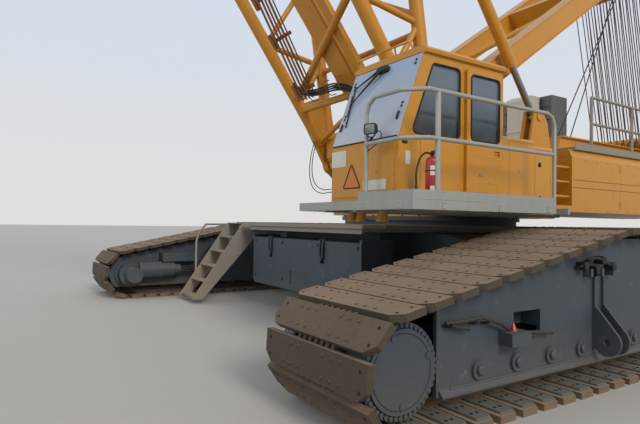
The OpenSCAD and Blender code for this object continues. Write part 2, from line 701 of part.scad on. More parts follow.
// Stack of slabs on a tray, beside the rear girders
module counterweight() color(steel) {
  y0 = girder_rear_out + 60 + seat;
  x0 = stack_x - stack_l;
  c = 22;
  slab_y(y0, 3100) polygon([
    [stack_x, stack_z - 150], [x0, stack_z - 150],
    for (i = [0 : slabs - 1]) each [[x0 + c, stack_z + i * slab_t], [x0, stack_z + i * slab_t + c],
      [x0, stack_z + (i + 1) * slab_t - c], [x0 + c, stack_z + (i + 1) * slab_t]],
    for (i = [slabs - 1 : -1 : 0]) each [[stack_x - c, stack_z + (i + 1) * slab_t],
      [stack_x, stack_z + (i + 1) * slab_t - c], [stack_x, stack_z + i * slab_t + c],
      [stack_x - c, stack_z + i * slab_t]]]);
  // lifting pegs of every slab
  for (i = [0 : slabs - 1]) for (x = [x0 + 180, stack_x - 180])
    round_y(x, stack_z + (i + 0.5) * slab_t, 3099, 3150, 55);
  // rods that hold the stack on the girder
  for (x = [x0 + 150, stack_x - 150]) translate([x, 3000, stack_z + slabs * slab_t - 1])
    cylinder(h = 120, r = 40, $fn = 32);
}

module air_box() color("#D8D2C0") {
  slab_y(-2400, -1700) polygon([[-6350, house_top + seat], [-5750, house_top + seat], [-5750, 5450], [-5900, 5600],
    [-6350, 5600]]);
  for (z = [3600, 4500]) block([-6370, -2420, z], [-5730, -1680, z + 40]);
}

module tube_path(points, d) {
  for (i = [0 : len(points) - 2]) bar(points[i], points[i + 1], d);
  for (i = [1 : len(points) - 2]) translate(points[i]) sphere(d = d + 3, $fn = 20);
}

module cab_railing() color(grey) {
  d = 48;
  x0 = plat_rear - seat - d / 2;
  x1 = plat_x - 20 - seat - d / 2;
  y1 = plat_y - 20 - seat - d / 2;
  z0 = platform_z + seat;
  z1 = platform_z + rail_h;
  zg = platform_z - 30 + seat;
  tube_path([[x1, 3340, z0], [x1, 3340, z1 - 160], [x1, 3380, z1 - 60], [x1, 3480, z1], [x1, y1 - 200, z1],
    [x1 - 200, y1, z1], [x0 + 150, y1, z1], [x0 + 50, y1, z1 - 40], [x0, y1, z1 - 150],
    [x0, y1, plat_bottom + 10]], d);
  tube_path([[x1, 3340, z1 - 500], [x1, y1 - 200, z1 - 500], [x1 - 200, y1, z1 - 500],
    [x0, y1, z1 - 500]], d);
  bar([3960, y1 - 8, zg], [3960, y1 - 8, z1], 60);
}

module deck_railing() color(grey) {
  y = side_y - 80;
  top = house_top + 40;
  block([house_back, side_y - 450, house_top + seat], [house_front - 100, side_y - 20, top]);
  block([house_back, side_y - 20, house_top + seat], [house_front - 100, side_y - 12, top + 60]);
  for (x = [190, -1010, -2210, -3410, -4610, -5500]) bar([x, y, top - 1], [x, y, top + 800], 48);
  for (z = [400, 800]) bar([-5500, y, top + z], [190, y, top + z], 42);
}

module reeving_block() color(yellow) {
  both_sides() slab_y(930, girder_y - 60 - seat)
    polygon([[-tail_x, 2600], [-7700, 2600], [-7850, 4150], [-8150, 4300], [-tail_x - 60, 4150]]);
  round_y(-8060, 4000, -931, 931, 80);
  for (i = [0 : 9]) round_y(-8060, 4000, -850 + i * 180, -850 + i * 180 + 80, 260);
  block([-8120, -931, 3500], [-7980, 931, 3640]);
}

module a_frame() color(yellow) {
  low = arm_d / 2 - arm_rise;
  high = -arm_d / 2 - arm_rise;
  in_arm() {
    difference() {
      both_sides() {
        block([700, arm_y - arm_w / 2, high], [arm_len, arm_y + arm_w / 2, low]);
        // flange strips along the arm's edges
        for (z = [high - 20, low]) block([1100, arm_y - arm_w / 2 - 25, z], [arm_len - 60, arm_y + arm_w / 2 + 25, z + 20]);
        slab_y(1100, 1330) {
          mirror([0, 1]) polygon([[-150, -130], [-150, 250], [60, -high], [1100, -high], [1100, -low], [500, -low],
            [160, -120]]);
          circle(r = 190, $fn = 48);
        }
      }
      round_y(0, 0, -1400, 1400, pin_r + 1);
    }
    for (x = [6900, arm_len - 500]) block([x, -arm_y, high], [x + 300, arm_y, low]);
    // diagonal between the arms
    bar([3700, -arm_y, -arm_rise], [6900, arm_y, -arm_rise], 130);
    both_sides() {
      slab_y(930, 1011)
        polygon([[arm_len - 400, high], [arm_len - 400, 500], [arm_len, 500], [arm_len + 100, high]]);
      strap_plates() polygon([[arm_len - 480, -arm_rise], [arm_len - 220, -arm_rise],
        [arm_len + 20, arm_pin[1] + 20], [arm_len + 20, arm_pin[1] - 100], [arm_len - 160, arm_pin[1] - 120],
        [arm_len - 480, high]]);
      round_y(arm_pin[0], arm_pin[1], strap_y - 110, strap_y + 105, strap_pin_r);
    }
    round_y(arm_len - 200, 300, -931, 931, 80);
    for (i = [0 : 9]) round_y(arm_len - 200, 300, -850 + i * 180, -850 + i * 180 + 80, 260);
  }
}

// Place of a node of the boom: u along it, side of the boom in y, face -1 front or 1 rear
function foot_at(u, y, f) = [u, y * boom_w / 2, f * min(u, foot_len - joint_stub) * tan(taper)];
function mid_at(u, y, f) = [u, y * boom_w / 2, f * boom_d / 2];
function head_at(u, y, f) = let (t = max(0, (u - mid_end - joint_stub) / (boom_len - mid_end - joint_stub)))
  [u, y * (boom_w / 2 - 500 * t), f * (boom_d / 2 - 915 * t)];

// Chord through the places us, with round knees; more makes it thicker
module chord(at, us, y, f, more = 0) {
  for (i = [0 : len(us) - 2]) bar(at(us[i], y, f), at(us[i + 1], y, f), chord_d + more, atan2(y, -f));
  for (i = [1 : 1 : len(us) - 2]) translate(at(us[i], y, f)) sphere(d = chord_d + 3, $fn = 20);
}

// Braces between the left and right trusses, cut to sit on the chords of the front or rear face
// and clear of the trusses' own braces, which are the third child
module face_lacing(at, us) {
  for (f = [-1, 1]) difference() {
    children(f < 0 ? 0 : 1);
    for (y = [-1, 1]) chord(at, us, y, f, 2 * seat);
    if ($children > 2) children(2);
  }
}

// Zigzag of braces between chords (y0, f0) and (y1, f1) of a section, n bays from u0 to u1
module zigzag(at, u0, u1, n, y0, f0, y1, f1, d) {
  step = (u1 - u0) / n;
  for (i = [0 : n - 1]) {
    even = i % 2 == 0;
    brace(at(u0 + i * step, even ? y0 : y1, even ? f0 : f1),
      at(u0 + (i + 1) * step, even ? y1 : y0, even ? f1 : f0), d);
  }
}

// Distances of the foot's lacing nodes: front, rear, front and so on
foot_nodes = [1460, 2090, 2790, 3950, 5060, 5720];

module foot_braces(y, more = 0) {
  for (i = [0 : 4]) brace(foot_at(foot_nodes[i], y, i % 2 == 0 ? -1 : 1),
    foot_at(foot_nodes[i + 1], y, i % 2 == 0 ? 1 : -1), lace_d + more);
}

module boom_foot() color(yellow) in_boom() {
  at = function (u, y, f) foot_at(u, y, f);
  us = [500, foot_len - joint_stub, foot_len];
  reach = foot_nodes[0] * tan(taper) + 60;
  difference() {
    union() {
      for (y = [-1, 1]) {
        for (f = [-1, 1]) chord(at, us, y, f);
        translate([0, y * boom_w / 2, 0]) {
          slab_y(-60, 60) polygon([[0, -190], [foot_nodes[0], -reach], [foot_nodes[0], reach], [0, 190]]);
          round_y(0, 0, -90, 90, eye_r);
        }
        foot_braces(y);
      }
      both_sides() stop_lug();
    }
    round_y(0, 0, -boom_w, boom_w, pin_r + 1);
  }
  face_lacing(at, us) {
    union() {
      for (u = [1320, 5600]) brace(at(u, -1, -1), at(u, 1, -1), 140, 40);
      brace(at(560, -1, -1), at(1453, 1, -1), 110);
      brace(at(1540, -1, -1), at(2890, 1, -1), 140);
      brace(at(3060, 1, -1), at(5060, -1, -1), lace_d);
      brace(at(4500, -1, -1), at(4500, 1, -1), 130, 50);
      hose_tray();
    }
    union() {
      for (u = [1950, 5620]) brace(at(u, -1, 1), at(u, 1, 1), lace_d, 50);
      brace(at(2220, 1, 1), at(3830, -1, 1), lace_d);
      brace(at(4100, -1, 1), at(5480, 1, 1), lace_d);
    }
    union() {
      for (y = [-1, 1]) foot_braces(y, 2 * seat);
      both_sides() block([stop_u - 310, stop_y - 150 - seat, stop_w - 400], [stop_u + 310, stop_y + 160, stop_w + 90]);
    }
  }
}

// Two sloping plates for the hoses inside the foot, on the front face's tubes
module hose_tray() {
  for (b = [[150, 480], [600, 200]]) slab_y(b[0] - b[1] / 2, b[0] + b[1] / 2)
    polygon([[790, -60], [4500, -4500 * tan(taper) - 40], [4500, -4500 * tan(taper) + 40], [790, 60]]);
  for (y = [120, 570]) slab_y(y, y + 60) polygon([[1240, -120], [1320, -150], [1350, -310], [1290, -310]]);
}

// Lug on the rear chord for the backstop's upper pin
module stop_lug() {
  for (y = [stop_y - 150, stop_y + 120]) slab_y(y, y + 30)
    polygon([[stop_u - 300, stop_w - 330], [stop_u + 300, stop_w - 180], [stop_u + 90, stop_w + 80],
      [stop_u - 90, stop_w + 80]]);
  slab_y(stop_y - 149, stop_y + 149) polygon([[stop_u - 260, stop_w - 320], [stop_u + 260, stop_w - 200],
    [stop_u + 240, stop_w - 125], [stop_u - 240, stop_w - 190]]);
  round_y(stop_u, stop_w, stop_y - 150, stop_y + 150, 40);
}

module boom_middle() color(yellow) in_boom() {
  at = function (u, y, f) mid_at(u, y, f);
  us = [foot_len + seat, mid_end];
  ends = [foot_len + joint_stub, mid_end - joint_stub];
  for (y = [-1, 1]) {
    for (f = [-1, 1]) chord(at, us, y, f);
    zigzag(at, foot_len + 350, mid_end - 550, 6, y, 1, y, -1, lace_d);
    for (u = ends) brace(at(u, y, -1), at(u, y, 1), lace_d - 10, 50);
  }
  face_lacing(at, us) {
    union() {
      zigzag(at, foot_len + 550, mid_end - 350, 6, -1, -1, 1, -1, lace_d);
      for (u = ends) brace(at(u, -1, -1), at(u, 1, -1), lace_d, 50);
    }
    union() {
      zigzag(at, foot_len + 550, mid_end - 350, 6, -1, 1, 1, 1, lace_d);
      for (u = ends) brace(at(u, -1, 1), at(u, 1, 1), lace_d, 50);
    }
  }
}

module boom_head() color(yellow) in_boom() {
  at = function (u, y, f) head_at(u, y, f);
  us = [mid_end + seat, mid_end + joint_stub, head_end];
  for (y = [-1, 1]) {
    for (f = [-1, 1]) chord(at, us, y, f);
    zigzag(at, mid_end + 350, head_end - 350, 4, y, 1, y, -1, lace_d);
    brace(at(head_end - 120, y, -1), at(head_end - 120, y, 1), lace_d - 10, 50);
  }
  both_sides() slab_y(985, 1065) polygon([[head_end - 700, -700], [head_end - 700, 700],
    [head_end, 560], [head_end, -560]]);
  face_lacing(at, us) {
    zigzag(at, mid_end + 600, head_end - 900, 3, -1, -1, 1, -1, lace_d);
    zigzag(at, mid_end + 600, head_end - 900, 3, -1, 1, 1, 1, lace_d);
  }
  // head box between the trusses, with the plates of the sheaves and of the pendants' pins
  for (u = [head_end - 600, head_end - 340]) block([u, -985 + seat, -120], [u + 140, 985 - seat, 120]);
  both_sides() {
    slab_y(620, 680) polygon([[head_end - 700, -440], [head_end - 700, 350], [head_end + 60, 350],
      [boom_len + 130, 120 - sheave_out], [boom_len + 60, -130 - sheave_out], [boom_len - 130, -110 - sheave_out],
      [head_end - 100, -440]]);
    strap_plates() polygon([[head_end - 560, -50], [head_end - 60, -50], [head_end - 60, 600],
      [head_end - 180, 780], [head_end - 340, 780], [head_end - 560, 500]]);
    round_y(head_end - 260, 660, strap_y - 110, strap_y + 105, strap_pin_r);
  }
}

module head_sheaves() color(steel) {
  round_y(head_c[0], head_c[1], -620 + seat, 620 - seat, 90);
  for (i = [0 : 4]) round_y(head_c[0], head_c[1], -440 + i * 200, -440 + i * 200 + 80, sheave_r);
}

// Pair of plates on either side of a strap's eye
module strap_plates() {
  for (y = [strap_y - 90, strap_y + 50]) slab_y(y, y + 40) children();
}

// Straight straps between the arm frame's head and the boom's head, an eye at each end
arm_pin = [arm_len - 100, -arm_rise - 330];
strap_a = [pin_x - arm_pin[0] * cos(arm_angle) - arm_pin[1] * sin(arm_angle),
  pin_z + arm_pin[0] * sin(arm_angle) - arm_pin[1] * cos(arm_angle)];
strap_b = [pin_x + (boom_len - 560) * cos(boom_angle) - 660 * sin(boom_angle),
  pin_z + (boom_len - 560) * sin(boom_angle) + 660 * cos(boom_angle)];

module pendants() color(steel) both_sides() difference() {
  union() {
    bar([strap_a[0], strap_y, strap_a[1]], [strap_b[0], strap_y, strap_b[1]], 80);
    for (c = [strap_a, strap_b]) round_y(c[0], c[1], strap_y - 45, strap_y + 45, 120);
  }
  for (c = [strap_a, strap_b]) round_y(c[0], c[1], strap_y - 150, strap_y + 150, strap_pin_r + seat);
}

module in_stop() {
  c = [pin_x + stop_u * cos(boom_angle) - stop_w * sin(boom_angle),
    pin_z + stop_u * sin(boom_angle) + stop_w * cos(boom_angle)];
  v = [stop_x, stop_z] - c;
  translate([c[0], 0, c[1]]) rotate([0, -atan2(v[1], v[0]), 0]) children();
}
stop_len = norm([pin_x + stop_u * cos(boom_angle) - stop_w * sin(boom_angle) - stop_x,
  pin_z + stop_u * sin(boom_angle) + stop_w * cos(boom_angle) - stop_z]);

module backstop_tubes() color(yellow) in_stop() both_sides() difference() {
  union() {
    round_y(0, 0, stop_y - 100, stop_y + 100, 90);
    translate([60, stop_y, 0]) rotate([0, 90, 0]) cylinder(h = stop_len - stop_show - 60, d = stop_tube_d, $fn = 40);
  }
  round_y(0, 0, stop_y - 200, stop_y + 200, 41);
  translate([200, stop_y, 0]) rotate([0, 90, 0]) cylinder(h = stop_len, d = stop_rod_d + 2 * seat, $fn = 40);
}

module backstop_rods() color(grey) in_stop() both_sides() difference() {
  union() {
    translate([stop_len - 4200, stop_y, 0]) rotate([0, 90, 0]) cylinder(h = 4200 - 60, d = stop_rod_d, $fn = 40);
    round_y(stop_len, 0, stop_y - 70, stop_y + 70, 105);
  }
  round_y(stop_len, 0, stop_y - 200, stop_y + 200, 41);
}

module hoist_ropes() color(steel) {
  for (i = [0 : 4]) bar([rope_x, -400 + i * 200, hook_z], [rope_x, -400 + i * 200, head_c[1]], rope_d);
}

module hook_block() color(yellow) {
  c = rope_x - rope_d / 2 - seat - 300;
  for (i = [0 : 4]) round_y(c, hook_z, -440 + i * 200, -440 + i * 200 + 80, 300);
  round_y(c, hook_z, -560, 560, 70);
  both_sides() slab_y(500, 560) {
    translate([c, hook_z]) circle(r = 360, $fn = 48);
    polygon([[c - 360, hook_z], [c + 360, hook_z], [c + 150, hook_z - 800], [c - 150, hook_z - 800]]);
  }
  block([c - 150, -560, hook_z - 800], [c + 150, 560, hook_z - 560]);
  translate([c, 0, hook_z - 1100]) cylinder(h = 400, r = 80, $fn = 32);
  translate([c, 0, hook_z - 1300]) rotate([90, 0, 0]) rotate_extrude(angle = 250, $fn = 48)
    translate([220, 0]) circle(r = 75, $fn = 24);
}

car_body();
on_left() side_frame();  // side_frame_left
on_right() side_frame();  // side_frame_right
on_left() track();  // track_left
on_right() track();  // track_right
on_left() drive_wheel();  // drive_wheel_left
on_right() drive_wheel();  // drive_wheel_right
drive_motors();
on_left() idler();  // idler_left
on_right() idler();  // idler_right
on_left() rollers();  // rollers_left
on_right() rollers();  // rollers_right
ballast_boxes();
deck();
stairs();
slewing_ring();
main_girders();
backstop_brackets();
platform();
cab_shell();
cab_door();
cab_door_glass();
windshield();
cab_glass();
operator_seat();
housing_left();
side_house_left();
side_house_right();
engine_block();
winches();
counterweights();
air_box();
cab_railing();
deck_railing();
reeving_block();
a_frame();
boom_foot();
boom_middle();
boom_head();
head_sheaves();
pendants();
backstop_tubes();
backstop_rods();
hook_block();
hoist_ropes();
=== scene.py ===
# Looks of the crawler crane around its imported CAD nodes. Metres, +X boom side, +Y cab side, +Z up.
import math

import bpy
import numpy as np
from mathutils import Matrix, Vector


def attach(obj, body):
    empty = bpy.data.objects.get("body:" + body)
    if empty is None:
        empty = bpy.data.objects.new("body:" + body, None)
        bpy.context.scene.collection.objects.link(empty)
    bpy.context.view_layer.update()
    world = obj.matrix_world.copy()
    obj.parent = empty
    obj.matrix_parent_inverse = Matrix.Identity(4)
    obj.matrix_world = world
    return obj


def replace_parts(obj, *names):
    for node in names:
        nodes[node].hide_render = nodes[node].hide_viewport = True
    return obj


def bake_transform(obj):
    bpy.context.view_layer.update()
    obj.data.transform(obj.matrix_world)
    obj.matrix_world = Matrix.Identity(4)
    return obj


bpy.ops.wm.read_factory_settings(use_empty=True)
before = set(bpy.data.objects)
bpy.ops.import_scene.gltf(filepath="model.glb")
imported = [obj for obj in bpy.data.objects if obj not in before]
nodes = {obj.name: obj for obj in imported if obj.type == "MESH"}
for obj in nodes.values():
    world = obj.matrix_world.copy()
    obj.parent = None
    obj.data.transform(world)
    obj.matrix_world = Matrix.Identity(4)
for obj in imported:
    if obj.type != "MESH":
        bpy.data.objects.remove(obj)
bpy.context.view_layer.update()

# Places and sizes of the part that the dressing follows
view = {"place": (7.946, 7.959, 1.677), "heading": 56.705, "pitch": 1.16, "roll": -0.822, "focal": 523.8,
        "pixels": 640, "sensor": 36, "far": 500}
track = {"gauge": 8.70, "axleX": 5.14, "axleZ": 0.52, "crestX": 2.0, "crestZ": 1.14, "linkR": 0.46,
         "wanted": 0.303, "shoeThick": 0.06}
cab = {"back": 2.385, "front": 4.13, "inner": 2.416, "outer": 3.68, "roof": 3.65, "sill": 2.62, "rake": 0.385,
       "glassTop": 3.52, "doorStart": 2.46, "doorFace": 3.725}
platform = {"front": 4.346, "outer": 4.15}
boom = {"x": 1.425, "z": 2.944, "angle": math.radians(67.4), "halfWide": 1.5, "halfDeep": 1.372,
        "taper": math.atan2(1.372, 5.85), "taperEnd": 5.85, "foot": 6.0, "middle": 18.0}
arm = {"angle": math.radians(34.6), "headAlong": 10.0, "headOff": 0.3, "lowX": -8.06, "lowZ": 4.0, "sheaveR": 0.26}
winch = {"x": (-1.5, -3.3, -4.4), "z": 2.66, "drum": 0.33, "half": 0.9, "rope": 0.028, "rimR": 0.47, "rimAt": 0.92,
         "leave": 0.37}

# Pairs of axes that lay down a shape's own x and y: its z then points to the cab's side, forwards or up
facingSide = (-1, 0, 0), (0, 0, 1)
facingOut = (1, 0, 0), (0, 0, -1)
facingFront = (0, 1, 0), (0, 0, 1)
facingUp = (1, 0, 0), (0, 1, 0)


# Shapes: a shape is a pair of arrays, its points and its quads, with the quads facing outwards
def sheetQuads(rows, cols, closed=True):
    # quads between neighbours of a grid of rows by cols points, whose rows run round if closed
    i = np.arange(rows - 1)[:, None] * cols
    j = np.arange(cols if closed else cols - 1)[None, :]
    k = (j + 1) % cols
    return np.stack([i + j, i + k, i + cols + k, i + cols + j], -1).reshape(-1, 4)


def outward(points, quads):
    # turns the quads over if the volume they enclose comes out negative
    a, b, c, d = (points[quads[:, n]] for n in range(4))
    volume = (np.cross(a, b) * c).sum() + (np.cross(a, c) * d).sum()
    return points, quads if volume >= 0 else quads[:, ::-1]


def capped(rings, bottom=True):
    # rings of an even number of points joined in their order, with a fan of quads over each end
    rows, cols = rings.shape[:2]
    points = np.concatenate([rings.reshape(-1, 3), rings[:1].mean(1), rings[-1:].mean(1)])
    quads = [sheetQuads(rows, cols)]
    i = np.arange(0, cols, 2)
    for start, middle, wanted in ((0, rows * cols, bottom), ((rows - 1) * cols, rows * cols + 1, True)):
        if wanted:
            fan = np.stack([np.full_like(i, middle), start + i, start + i + 1, start + (i + 2) % cols], -1)
            quads.append(fan if start == 0 else fan[:, ::-1])
    return outward(points, np.concatenate(quads)[:, ::-1])


def soften(points, times=2):
    # a path whose corners are cut to a quarter and three quarters of each leg, a few times over
    p = np.asarray(points, float)
    for _ in range(times):
        s, q = p[:-1], p[1:]
        cut = np.stack([0.75 * s + 0.25 * q, 0.25 * s + 0.75 * q], 1).reshape(-1, p.shape[1])
        p = np.concatenate([p[:1], cut, p[-1:]])
    return p


def unit(v):
    v = np.asarray(v, float)
    return v / np.linalg.norm(v, axis=-1, keepdims=True)


def tube(path, radius, sides=8, closed=False):
    # circle of that radius carried along the path and kept square to it, radius may change along it
    p = np.asarray(path, float)
    along = unit(np.roll(p, -1, 0) - np.roll(p, 1, 0) if closed else np.gradient(p, axis=0))
    tries = unit([[0, 0, 1], [0, 1, 0], [1, 0, 0], [1, 1, 1], [1, -1, 1], [-1, 1, 1]])
    axis = tries[np.abs(along @ tries.T).max(0).argmin()]
    side = unit(np.cross(along, axis))
    up = np.cross(side, along)
    t = np.arange(sides) * 2 * math.pi / sides
    r = np.broadcast_to(np.asarray(radius, float).reshape(-1, 1, 1), (len(p), 1, 1))
    rings = p[:, None] + r * (np.cos(t)[None, :, None] * side[:, None] + np.sin(t)[None, :, None] * up[:, None])
    if not closed:
        return capped(rings)
    return outward(rings.reshape(-1, 3), sheetQuads(len(p) + 1, sides) % (len(p) * sides))


def bent(path, radius, sides=8, times=2, at=(0, 0, 0)):
    # tube along the softened path, whose points are counted from at
    return tube(soften(np.asarray(path, float) + at, times), radius, sides)


def plate(outline, thick, soft=0.002):
    # flat outline raised to its thickness, with a narrow slope round its upper edge
    o = np.asarray(outline, float)
    if len(o) % 2:
        o = np.insert(o, 1, (o[0] + o[1]) / 2, axis=0)
    inset = o - unit(o - o.mean(0)) * soft
    return capped(np.stack([acrossZ(o, 0), acrossZ(o, thick - soft), acrossZ(inset, thick)]))


def turned(profile, sides=16, bottom=True):
    # profile of radius and height turned round the z axis
    t = np.arange(sides) * 2 * math.pi / sides
    r, h = np.asarray(profile, float).T
    rings = np.stack([r[:, None] * np.cos(t), r[:, None] * np.sin(t), np.broadcast_to(h[:, None], (len(h), sides))], -1)
    return capped(rings, bottom)


def circle(radius, centre=(0, 0, 0), steps=40):
    # ring of points round an axle, which runs across the machine
    t = np.linspace(0, 2 * math.pi, steps, endpoint=False)
    return acrossY(radius * np.stack([np.cos(t), np.sin(t)], -1), 0) + centre


def roundRect(wide, high, radius, steps=2):
    # corner arcs of that radius about the corners of a rectangle round the origin
    t = np.arange(steps + 1) / steps * math.pi / 2
    arcs = [np.stack([sx * (wide / 2 - radius) + radius * np.cos(t + a),
                      sy * (high / 2 - radius) + radius * np.sin(t + a)], -1)
            for sx, sy, a in ((1, 1, 0), (-1, 1, math.pi / 2), (-1, -1, math.pi), (1, -1, 1.5 * math.pi))]
    return np.concatenate(arcs)


def roundPlate(wide, high, radius, thick, soft, steps=2):
    return plate(roundRect(wide, high, radius, steps), thick, soft)


def cornered(outline, radius, steps=4):
    # polygon whose corners become arcs of that radius, as in the part's windows
    o = np.asarray(outline, float)
    out = []
    for before, p, after in zip(np.roll(o, 1, 0), o, np.roll(o, -1, 0)):
        u, v = unit(before - p), unit(after - p)
        half = math.acos(np.clip(u @ v, -1, 1)) / 2
        centre = p + unit(u + v) * radius / math.sin(half)
        a, b = p + u * radius / math.tan(half) - centre, p + v * radius / math.tan(half) - centre
        turn = math.atan2(a[0] * b[1] - a[1] * b[0], a @ b)
        t = math.atan2(a[1], a[0]) + turn * np.arange(steps + 1) / steps
        out.append(centre + radius * np.stack([np.cos(t), np.sin(t)], -1))
    return np.concatenate(out)


# flat outlines stood up in space, square to the axis in the name
def acrossX(outline, x):
    return np.insert(outline, 0, x, axis=1)


def acrossY(outline, y):
    return np.insert(outline, 1, y, axis=1)


def acrossZ(outline, z):
    return np.insert(outline, 2, z, axis=1)


def placed(shape, origin, ax, ay):
    # the shape with its own x and y axes laid along ax and ay, and its z axis square to both
    ax, ay = unit(ax), unit(ay)
    points, quads = shape
    return points @ np.stack([ax, ay, np.cross(ax, ay)]) + np.asarray(origin, float), quads


def copies(shape, origins, axs, ays):
    # one copy of the shape for every origin and pair of axes, all worked out together
    points, quads = shape
    origins, axs, ays = (np.atleast_2d(np.asarray(v, float)) for v in (origins, axs, ays))
    n = max(len(origins), len(axs), len(ays))
    origins, axs, ays = (np.broadcast_to(v, (n, 3)) for v in (origins, unit(axs), unit(ays)))
    frames = np.stack([axs, ays, np.cross(axs, ays)], 1)
    every = (points[None] @ frames + origins[:, None]).reshape(-1, 3)
    return every, (quads[None] + (np.arange(n) * len(points))[:, None, None]).reshape(-1, 4)


def moved(shape, by):
    return shape[0] + by, shape[1]


def joined(shapes):
    # a list of shapes as one shape, and a single shape as it is
    if not isinstance(shapes, list):
        return shapes
    starts = np.cumsum([0] + [len(p) for p, _ in shapes[:-1]])
    return np.concatenate([p for p, _ in shapes]), np.concatenate([q + s for (_, q), s in zip(shapes, starts)])


def mirrored(shape, signs=(1, -1, 1)):
    return shape[0] * signs, shape[1][:, ::-1]


def bothSides(shapes):
    shape = joined(shapes)
    return joined([shape, mirrored(shape)])


def bothSigns(values):
    return [v * sign for v in values for sign in (-1, 1)]


def makePiece(name, shape, finish, body="superstructure", angle=40):
    points, quads = joined(shape)
    mesh = bpy.data.meshes.new(name)
    mesh.vertices.add(len(points))
    mesh.vertices.foreach_set("co", points.astype(np.float32).ravel())
    mesh.loops.add(quads.size)
    mesh.loops.foreach_set("vertex_index", quads.astype(np.int32).ravel())
    mesh.polygons.add(len(quads))
    mesh.polygons.foreach_set("loop_start", np.arange(len(quads), dtype=np.int32) * 4)
    mesh.update(calc_edges=True)
    mesh.shade_smooth()
    mesh.set_sharp_from_angle(angle=math.radians(angle))
    mesh.materials.append(mats[finish])
    piece = bpy.data.objects.new(name, mesh)
    bpy.context.scene.collection.objects.link(piece)
    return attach(piece, body) if body else piece


def boomPoint(u, y, w):
    # u along the boom from its foot pins, w towards its rear
    c, s = math.cos(boom["angle"]), math.sin(boom["angle"])
    return np.stack(np.broadcast_arrays(boom["x"] + u * c - w * s, y, boom["z"] + u * s + w * c), -1)


def armPoint(u, y, off):
    # u along the arm from its foot pins, off towards its lower side
    c, s = math.cos(arm["angle"]), math.sin(arm["angle"])
    return np.stack(np.broadcast_arrays(boom["x"] - u * c - off * s, y, boom["z"] + u * s - off * c), -1)


# Colours and surfaces
def srgb(r, g, b):
    c = np.array([r, g, b]) / 255
    return tuple(np.where(c <= 0.04045, c / 12.92, ((c + 0.055) / 1.055) ** 2.4)) + (1.0,)


def shaded(colour, share):
    return tuple(min(1, c * share) for c in colour[:3]) + (1,)


def link(tree, a, b):
    tree.links.new(a, b)


def mathNode(tree, op, a, b=None, clamp=False):
    n = tree.nodes.new("ShaderNodeMath")
    n.operation, n.use_clamp = op, clamp
    for i, v in enumerate([a, b]):
        if isinstance(v, (int, float)):
            n.inputs[i].default_value = v
        elif v is not None:
            link(tree, v, n.inputs[i])
    return n.outputs[0]


def times(tree, a, b, clamp=False):
    return mathNode(tree, "MULTIPLY", a, b, clamp)


def plus(tree, a, b, clamp=False):
    return mathNode(tree, "ADD", a, b, clamp)


def minus(tree, a, b, clamp=False):
    return mathNode(tree, "SUBTRACT", a, b, clamp)


def noise(tree, coord, scale, detail=5.0, rough=0.6, squeeze=None):
    # noise on the piece's own place, squeezed along an axis for runs of rain
    if squeeze:
        m = tree.nodes.new("ShaderNodeMapping")
        m.inputs["Scale"].default_value = squeeze
        link(tree, coord, m.inputs["Vector"])
        coord = m.outputs[0]
    n = tree.nodes.new("ShaderNodeTexNoise")
    for key, value in (("Scale", scale), ("Detail", detail), ("Roughness", rough)):
        if isinstance(value, float):
            n.inputs[key].default_value = value
        else:
            link(tree, value, n.inputs[key])
    link(tree, coord, n.inputs["Vector"])
    return n.outputs[0]


def mixColour(tree, share, a, b):
    m = tree.nodes.new("ShaderNodeMix")
    m.data_type = "RGBA"
    link(tree, share, m.inputs[0])
    for slot, value in ((6, a), (7, b)):
        if isinstance(value, tuple):
            m.inputs[slot].default_value = value
        else:
            link(tree, value, m.inputs[slot])
    return m.outputs[2]


def ownPlace(tree):
    return tree.nodes.new("ShaderNodeTexCoord").outputs["Object"]


soil = {"low": 0.55, "flat": 0.75, "patch": 0.45, "sand": 0.35, "run": 2.4, "chipEdge": 18.0}


def makeWeather():
    # masks of weather: dust low down and on what faces up (on the track shoes partly painted light on their tops), runs
    # of rain, worn patches, chips and fine grain
    g = bpy.data.node_groups.new("weather", "ShaderNodeTree")
    for name, value in (("dustHeight", 1.5), ("chipSize", 9.0), ("chipShare", 0.62)):
        g.interface.new_socket(name=name, in_out="INPUT", socket_type="NodeSocketFloat").default_value = value
    for name in ("dust", "streaks", "mottle", "chips", "grain"):
        g.interface.new_socket(name=name, in_out="OUTPUT", socket_type="NodeSocketFloat")
    gi, go = g.nodes.new("NodeGroupInput"), g.nodes.new("NodeGroupOutput")
    co = ownPlace(g)
    place, facing = g.nodes.new("ShaderNodeSeparateXYZ"), g.nodes.new("ShaderNodeSeparateXYZ")
    link(g, co, place.inputs[0])
    link(g, g.nodes.new("ShaderNodeNewGeometry").outputs["Normal"], facing.inputs[0])
    upwards = facing.outputs[2]
    broad, fine = noise(g, co, 0.9), noise(g, co, 26.0, 6.0, 0.65)
    run = noise(g, co, 1.6, 4.0, 0.6, (7.0, 7.0, 0.35))
    low = minus(g, 1.0, mathNode(g, "DIVIDE", place.outputs[2], gi.outputs["dustHeight"]), True)
    # what faces up takes dust; on the track shoes this lighter top is also painted light
    flat = times(g, mathNode(g, "POWER", mathNode(g, "MAXIMUM", upwards, 0.0), 3.0), soil["flat"])
    spread = times(g, plus(g, times(g, low, soil["low"]), flat), plus(g, broad, soil["patch"]))
    link(g, plus(g, spread, times(g, minus(g, fine, 0.5), soil["sand"]), True), go.inputs["dust"])
    upright = minus(g, 1.0, mathNode(g, "ABSOLUTE", upwards), True)
    wet = times(g, minus(g, run, 0.5, True), soil["run"], True)
    link(g, times(g, wet, upright), go.inputs["streaks"])
    link(g, broad, go.inputs["mottle"])
    patches = noise(g, co, gi.outputs["chipSize"], 7.0, 0.7)
    over = minus(g, patches, gi.outputs["chipShare"], True)
    link(g, times(g, over, soil["chipEdge"], True), go.inputs["chips"])
    link(g, fine, go.inputs["grain"])
    return g


weather = makeWeather()


